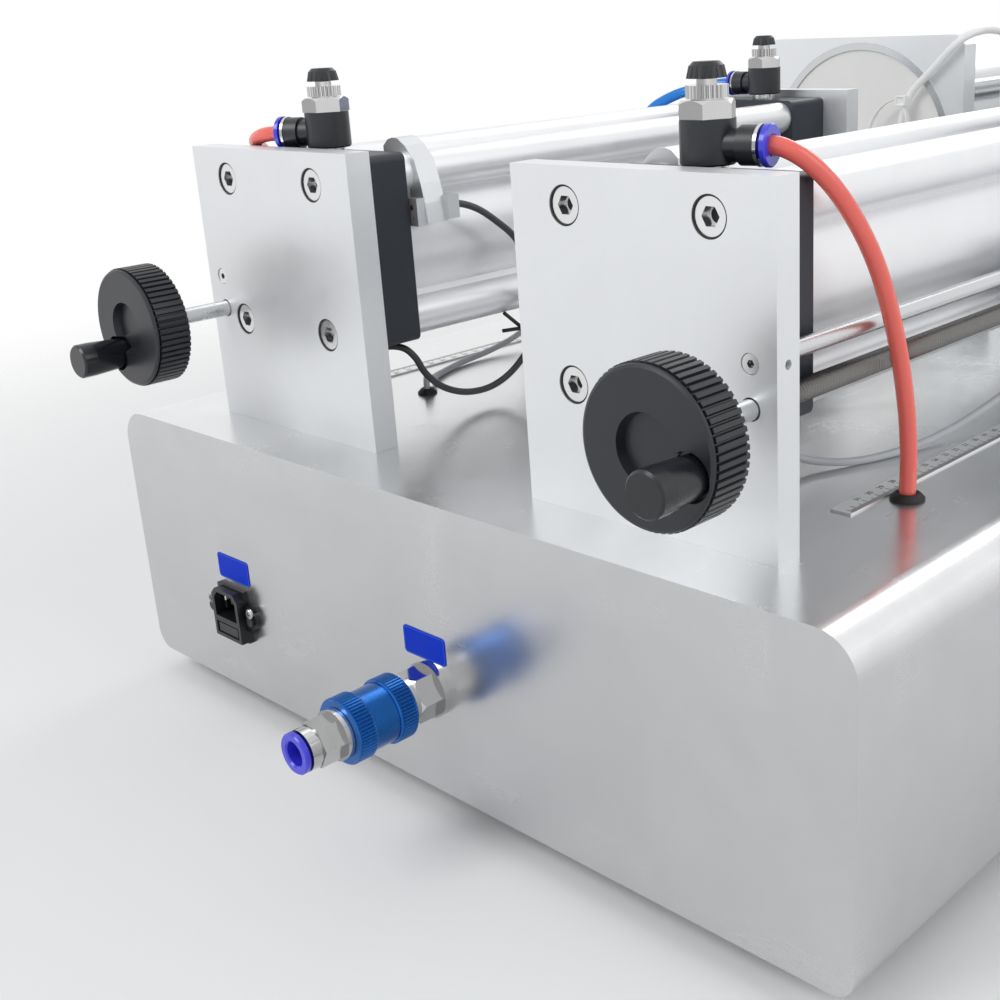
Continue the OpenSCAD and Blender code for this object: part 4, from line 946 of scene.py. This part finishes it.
@dataclass
class Labels:
    """The two blue name plates on the rear panel, left bare."""

    layout: Layout
    width: float = 32 * MM
    height: float = 15.3 * MM
    thickness: float = 0.4 * MM
    corner: float = 2 * MM
    border: float = 0.5 * MM
    inner_border: float = 0.3 * MM
    places: tuple[tuple[str, float, float], ...] = (
        ("power_label", 0.1626, 0.0946),
        ("air_label", -0.0132, 0.0978),
    )

    def make(self, name: str, x: float, z: float) -> None:
        """Build one plate: rounded corners, a crisp rim and an inset field.

        Args:
            name: The plate's name.
            x: Its middle across the panel.
            z: Its middle's height.
        """
        middle = (x, self.layout.rear_y + self.thickness / 2, z)
        plate = Bench.block(name, middle, (self.width, self.thickness, self.height))

        def upright(edge: bpy.types.MeshEdge) -> bool:
            """Say whether an edge runs through the plate's thickness."""
            a, b = (plate.data.vertices[i].co for i in edge.vertices)
            return (a - b).xz.length < TINY

        Bench.choose(plate, "EDGE", upright)
        with Bench.editing():
            bpy.ops.mesh.bevel(offset=self.corner, segments=5, affect="EDGES")
        Bench.choose(plate, "FACE", lambda face: face.normal.y > FACING)
        with Bench.editing():
            bpy.ops.mesh.inset(thickness=self.border)
            bpy.ops.mesh.inset(thickness=self.inner_border)
        Workshop.fit(name, [plate], "collet_violet", "label_blue", "label_edge", degrees=0)
        for face in plate.data.polygons:
            across, up = abs(face.center.x - x), abs(face.center.z - z)
            rim = face.normal.y > FACING and max(across, up) > self.thickness / 4
            reach = max(across - self.width / 2, up - self.height / 2)
            face.material_index = int(rim and reach < -self.border)

    def build(self) -> None:
        """Build both plates."""
        for place in self.places:
            self.make(*place)


class Scale:
    """Etched millimetre ticks and numbers on one head's scale strip."""

    margin = 2 * MM
    line = 0.28 * MM
    rise = 0.06 * MM
    inset = 0.02 * MM
    rows = ((1, 2.6 * MM), (5, 4 * MM), (10, 5.6 * MM))
    text_size = 4.2 * MM
    text_place = 8.2 * MM

    def __init__(self, head: Head) -> None:
        """Measure the strips."""
        self.head = head
        self.low, self.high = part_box("ruler_strips")
        self.outer = self.high.x if head.side == RIGHT else self.low.x
        self.span = self.high.y - self.low.y - 2 * self.margin

    def row(self, every: int, length: float) -> Object:
        """Build one row of ticks with an array.

        Args:
            every: Distance between two ticks, in millimetres.
            length: Length of a tick.

        Returns:
            The row of ticks.
        """
        middle = (
            self.outer - self.head.side * length / 2,
            self.low.y + self.margin + self.line / 2,
            self.high.z + self.rise / 2,
        )
        tick = Bench.block("ticks", middle, (length - 2 * self.inset, self.line, self.rise))
        count = int(self.span / (every * MM)) + 1
        Bench.apply(
            tick, "ARRAY", count=count, use_relative_offset=False, use_constant_offset=True,
            constant_offset_displace=(0, every * MM, 0),
        )
        return tick

    def number(self, k: int) -> Object:
        """Write the number at a tenth tick, counted from the front end."""
        Bench.clear()
        along = self.low.y + self.margin + 10 * k * MM
        place = (self.outer - self.head.side * self.text_place, along, self.high.z + self.inset)
        bpy.ops.object.text_add(location=place, rotation=(0, 0, self.head.side * math.pi / 2))
        text = bpy.context.object.data
        text.body = str(k)
        text.size = self.text_size
        text.align_x = text.align_y = "CENTER"
        text.extrude = self.rise / 2
        bpy.ops.object.convert(target="MESH")
        return bpy.context.object

    def build(self) -> None:
        """Build the ticks and the numbers."""
        marks = [self.row(every, length) for every, length in self.rows]
        marks += [self.number(k) for k in range(1, int(self.span / (10 * MM)))]
        name = self.head.named("scale_marks")
        Workshop.fit(name, marks, "scale_steel", "tick_black", degrees=0)


@dataclass
class LeadScrew:
    """A lead screw with a real thread, in place of the plain CAD rod."""

    head: Head
    u: float = 59.2 * MM
    z: float = -35.5 * MM
    radius: float = 5 * MM
    root: float = 4 * MM
    pitch: float = 2 * MM
    flat: float = 0.16 * MM
    overlap: float = 0.05 * MM
    thread_steps: int = 20
    sides: int = 40
    thread: Pair = (53.9 * MM, 486.9 * MM)
    core: Pair = (54.1 * MM, 486.7 * MM)
    shaft: tuple[float, float, float] = (-18.2 * MM, 55.5 * MM, 4.5 * MM)
    journal: tuple[float, float, float] = (485.5 * MM, 499 * MM, 4 * MM)
    pin_radius: float = 3 * MM
    pin: Pair = (-18.4 * MM, -42.4 * MM)
    grip_reach: float = 21.5 * MM
    grip_angles: dict[int, float] = field(default_factory=lambda: {LEFT: -18.0, RIGHT: -48.0})

    def helix(self) -> Object:
        """Turn one tooth's outline round the screw's axis, pitch by pitch.

        Returns:
            The thread.
        """
        start, end = self.thread
        half, flat = self.pitch / 2, self.flat
        outline = (
            (self.root, 0.0), (self.root, flat), (self.radius, half - flat),
            (self.radius, half + flat), (self.root, self.pitch - flat), (self.root, self.pitch),
        )
        thread = Bench.line("thread", [Vector((r, 0.0, -along)) for r, along in outline])
        turns = int((end - start) / self.pitch) - 1
        Bench.apply(
            thread, "SCREW", axis="Z", angle=math.tau, screw_offset=-self.pitch,
            iterations=turns, steps=self.thread_steps, render_steps=self.thread_steps,
            use_merge_vertices=True, merge_threshold=TINY,
        )
        thread.rotation_euler = (-math.pi / 2, 0, 0)
        thread.location = self.head.at(self.u, start, self.z)
        Bench.take("thread")
        with Bench.editing():
            Bench.face_out()
        return thread

    def build(self) -> None:
        """Build the screw: core, thread, shaft, journal and the grip's pin."""
        name = self.head.named("lead_screw")
        turn = math.radians(self.grip_angles[self.head.side])
        du, dz = self.grip_reach * math.cos(turn), self.grip_reach * math.sin(turn)
        parts = []
        for start, end, radius, across, up in (
            (*self.core, self.root + self.overlap, 0, 0),
            (*self.shaft, 0, 0),
            (*self.journal, 0, 0),
            (*self.pin, self.pin_radius, du, dz),
        ):
            ends = (self.head.at(self.u + across, b, self.z + up) for b in (start, end))
            parts.append(Bench.rod(name, *ends, radius, self.sides))
            Workshop.dress(parts[-1], "rod_chrome")
        parts.append(self.helix())
        Workshop.dress(parts[-1], "screw_dark")
        screw = Bench.join(name + "_threaded", parts)
        Bench.smooth(screw, 25)
        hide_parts(name)
        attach(screw, self.head.named("wheel_and_screw"))
        LOG.info("screw: %s", name)


@dataclass
class InletDetails:
    """The bright pins and the screws of the mains inlet."""

    layout: Layout
    middle: Pair = (165 * MM, 72 * MM)
    pin_size: Point = (2.2 * MM, 9.4 * MM, 4.2 * MM)
    pin_depth: float = 1.3 * MM
    pin_edge: float = 0.5 * MM
    pin_pitch: float = 7 * MM
    pin_rises: tuple[float, float, float] = (3.5 * MM, 7.5 * MM, 3.5 * MM)
    screw_pitch: float = 40 * MM
    screw_seat: float = 3.02 * MM
    screw_radius: float = 3.25 * MM
    screw_rise: float = 2.2 * MM
    dome: float = 0.75
    recess: tuple[float, float, float] = (0.62, 0.14, 0.45)

    def pins(self) -> None:
        """Build the three blades in the mains inlet's mouth."""
        x, z = self.middle
        y = self.layout.rear_y - self.pin_depth
        blades = []
        for k, rise in zip((-1, 0, 1), self.pin_rises):
            middle = (x + k * self.pin_pitch, y, z + rise)
            blade = Bench.block("inlet_pins", middle, self.pin_size)
            Bench.round_edges(blade, self.pin_edge, 3)
            blades.append(blade)
        Workshop.fit("inlet_pins", blades, "nickel", "pin_brass")

    def cross_screw(self, seat: Vector) -> Object:
        """Build one domed screw head with a cross recess.

        Args:
            seat: Middle of its seat; the head rises along +Y.

        Returns:
            The head.
        """
        rise = self.screw_rise
        long, narrow, deep = self.recess
        top = seat + Vector((0, rise, 0))
        head = Bench.rod("inlet_screws", seat, top, self.screw_radius)
        Bench.round_edges(head, rise * self.dome, 5, profile=0.6)
        for across, up in ((narrow, long), (long, narrow)):
            width, height = 2 * across * self.screw_radius, 2 * up * self.screw_radius
            size = (width, rise * (1 + deep), height)
            middle = top + Vector((0, rise * (1 - deep) / 2, 0))
            Bench.carve(head, Bench.block("slot", middle, size))
        return head

    def build(self) -> None:
        """Build the pins and the two screws beside the mains inlet."""
        self.pins()
        x, z = self.middle
        seat_y = self.layout.rear_y + self.screw_seat
        heads = [
            self.cross_screw(Vector((x + k * self.screw_pitch / 2, seat_y, z)))
            for k in (-1, 1)
        ]
        Workshop.fit("inlet_screws", heads, "nickel", "nickel", degrees=50)


@dataclass
class HeadDetails:
    """Painted shadows round and in the plate screws, sensor lamp and cable ties of one head."""

    head: Head
    screw_pitch: float = 80 * MM
    plate_face: float = 36.5 * MM
    ring: tuple[float, float, float, float] = (8.06 * MM, 8.94 * MM, 0.45 * MM, 0.8 * MM)
    ring_edge: float = 0.15 * MM
    socket: tuple[float, float, float, int] = (3.3 * MM, 5.6 * MM, 0.1 * MM, 30)
    stop_socket: tuple[float, float, float, int] = (1.6 * MM, 2.45 * MM, 0.06 * MM, 24)
    plug_height: float = 0.2 * MM
    stop_place: Pair = (59.2 * MM, -16.8 * MM)
    lamp_place: Point = (-53 * MM, 91.2 * MM, 22 * MM)
    lamp_size: Pair = (1.45 * MM, 2.6 * MM)
    lamp_edge: float = 0.7 * MM
    strap: Pair = (4.4 * MM, 1.2 * MM)
    strap_edge: float = 0.3 * MM
    tie_station: float = 9.5 * MM
    white_loop: tuple[Pair, ...] = (
        (-45.5, 41.5), (-38, 40.5), (-30, 36), (-23, 28), (-18.5, 18), (-17, 5), (-20, -7),
        (-27, -16), (-37, -19), (-47, -14), (-52.5, -2), (-54, 14), (-52.5, 30),
    )
    white_knot: tuple[Pair, Point] = ((-48.0, 40.5), (9.2, 6.4, 8.4))
    knot_slot: Pair = (1.6 * MM, 1.2 * MM)
    white_edge: float = 0.8 * MM
    collar: tuple[Point, Point] = ((-57.2, 104, 43.9), (-55.8, 104, 39.1))
    collar_radius: float = 2.9 * MM
    collar_edge: float = 0.5 * MM
    black_knot: Point = (-52.2, 100.2, 40.7)
    black_size: Point = (5.4, 5.4, 4.6)
    black_edge: float = 0.6 * MM
    clipped_radius: float = 1.3 * MM
    clipped_ends: tuple[tuple[Point, Point], ...] = (
        ((-50.5, 98.0, 40.3), (-41.8, 90.4, 39.0)),
        ((-50.0, 98.0, 41.5), (-43.2, 91.2, 50.5)),
    )

    def plug(self, u: float, z: float, size: tuple[float, float, float, int]) -> Object:
        """Build the dark disc deep in a screw's socket: a painted shadow on the socket's floor.

        Args:
            u: The screw's place across the plate.
            z: Its height.
            size: The plug's radius, its depth, the width of its rounded edge and its sides.

        Returns:
            The plug.
        """
        radius, depth, edge, sides = size
        floor = self.head.at(u, self.plate_face + depth, z)
        plug = Bench.rod("plug", floor - Vector((0, self.plug_height, 0)), floor, radius, sides)
        Bench.round_edges(plug, edge, 2)
        return plug

    def seals(self) -> None:
        """Build the dark rings round a rear plate's screws, and the plugs in their sockets:
        painted shadow in the gaps and on the sockets' floors.
        """
        inner, outer, drop, height = self.ring
        half = self.screw_pitch / 2
        step = Vector((0, height, 0))
        pieces = []
        for u, z in ((half, half), (half, -half), (-half, half), (-half, -half)):
            front = self.head.at(u, self.plate_face + drop, z)
            ring = Bench.rod("ring", front - step, front, outer, 48)
            Bench.carve(ring, Bench.rod("hole", front - 2 * step, front + step, inner, 48))
            Bench.round_edges(ring, self.ring_edge, 2)
            pieces += [ring, self.plug(u, z, self.socket)]
        pieces.append(self.plug(*self.stop_place, self.stop_socket))
        # The rings and the plugs are painted shadow: dark pieces where the gaps and the sockets
        # lie in shade.
        Workshop.fit(self.head.named("painted_screw_shadows"), pieces, "grommet_black", "tick_black")

    def lamp(self) -> None:
        """Build the small lamp in the sensor's rear face."""
        name = self.head.named("sensor_lamp")
        near = self.head.at(*self.lamp_place)
        radius, length = self.lamp_size
        lamp = Bench.rod(name, near - Vector((0, length, 0)), near, radius, 24)
        Bench.round_edges(lamp, self.lamp_edge, 4)
        Workshop.fit(name, [lamp], "nickel", "lamp_red", degrees=60)

    def nozzle_tie(self) -> None:
        """Build the white cable tie at the nozzle tube: a loose loop and its knot."""
        name = self.head.named("nozzle_tie")
        width, thickness = self.strap
        station = self.head.layout.product_b - self.tie_station
        place, size = self.white_knot
        *loop, middle = [
            self.head.at(u * MM, station, z * MM) for u, z in (*self.white_loop, place)
        ]
        line = Bench.curve([loop[-1], *loop, loop[0], loop[1]], 4, 0)
        band = Bench.line(name, [*line, line[0]])
        with Bench.editing():
            bpy.ops.mesh.select_all(action="SELECT")
            bpy.ops.mesh.remove_doubles(threshold=TINY)
            bpy.ops.mesh.select_all(action="SELECT")
            Bench.extrude((0, width, 0))
            Bench.face_out()
        Bench.apply(band, "SOLIDIFY", thickness=thickness, offset=0.0)
        Bench.round_edges(band, self.strap_edge, 2)
        knot = Bench.block(name, middle + Vector((0, width / 2, 0)), Vector(size) * MM)
        Bench.choose(knot, "FACE", lambda face: face.normal.y > FACING)
        rim, depth = self.knot_slot
        with Bench.editing():
            bpy.ops.mesh.inset(thickness=rim)
            Bench.extrude((0, -depth, 0))
        Bench.round_edges(knot, self.white_edge, 3)
        Workshop.fit(name, [band, knot], "tube_clear", "tie_white", degrees=35)

    def sensor_tie(self) -> None:
        """Build the black tie on the sensor cable: collar, knot and two clipped ends."""
        name = self.head.named("sensor_tie")

        def at(place: Point) -> Vector:
            """Place a point in millimetres, with its distance from the rear port."""
            u, b, rise = (value * MM for value in place)
            return self.head.on_base(u, self.head.layout.rear_port_b + b, rise)

        collar = Bench.rod(name, *map(at, self.collar), self.collar_radius, 28)
        Bench.round_edges(collar, self.collar_edge, 3)
        knot = Bench.block(name, at(self.black_knot), Vector(self.black_size) * MM)
        Bench.round_edges(knot, self.black_edge, 3)
        parts = [collar, knot]
        for ends in self.clipped_ends:
            strip = Bench.rod(name, *map(at, ends), self.clipped_radius, 4)
            Bench.round_edges(strip, self.strap_edge, 2)
            parts.append(strip)
        Workshop.fit(name, parts, "grommet_black", "tie_black")

    def build(self) -> None:
        """Build the head's small parts."""
        self.seals()
        self.lamp()
        self.nozzle_tie()
        self.sensor_tie()


def main() -> None:
    """Build the looks, piece by piece."""
    logging.basicConfig(level=logging.INFO, format="%(message)s")
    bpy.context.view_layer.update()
    Workshop.dress_nodes()
    Workshop.break_edges(BROKEN_EDGES)
    layout = Layout()
    heads = [Head(layout, side) for side in SIDES]
    Studio().build()
    Cords(heads).build()
    Labels(layout).build()
    for head in heads:
        Scale(head).build()
    for head in heads:
        LeadScrew(head).build()
    InletDetails(layout).build()
    for head in heads:
        HeadDetails(head).build()


if __name__ == "__main__":
    main()
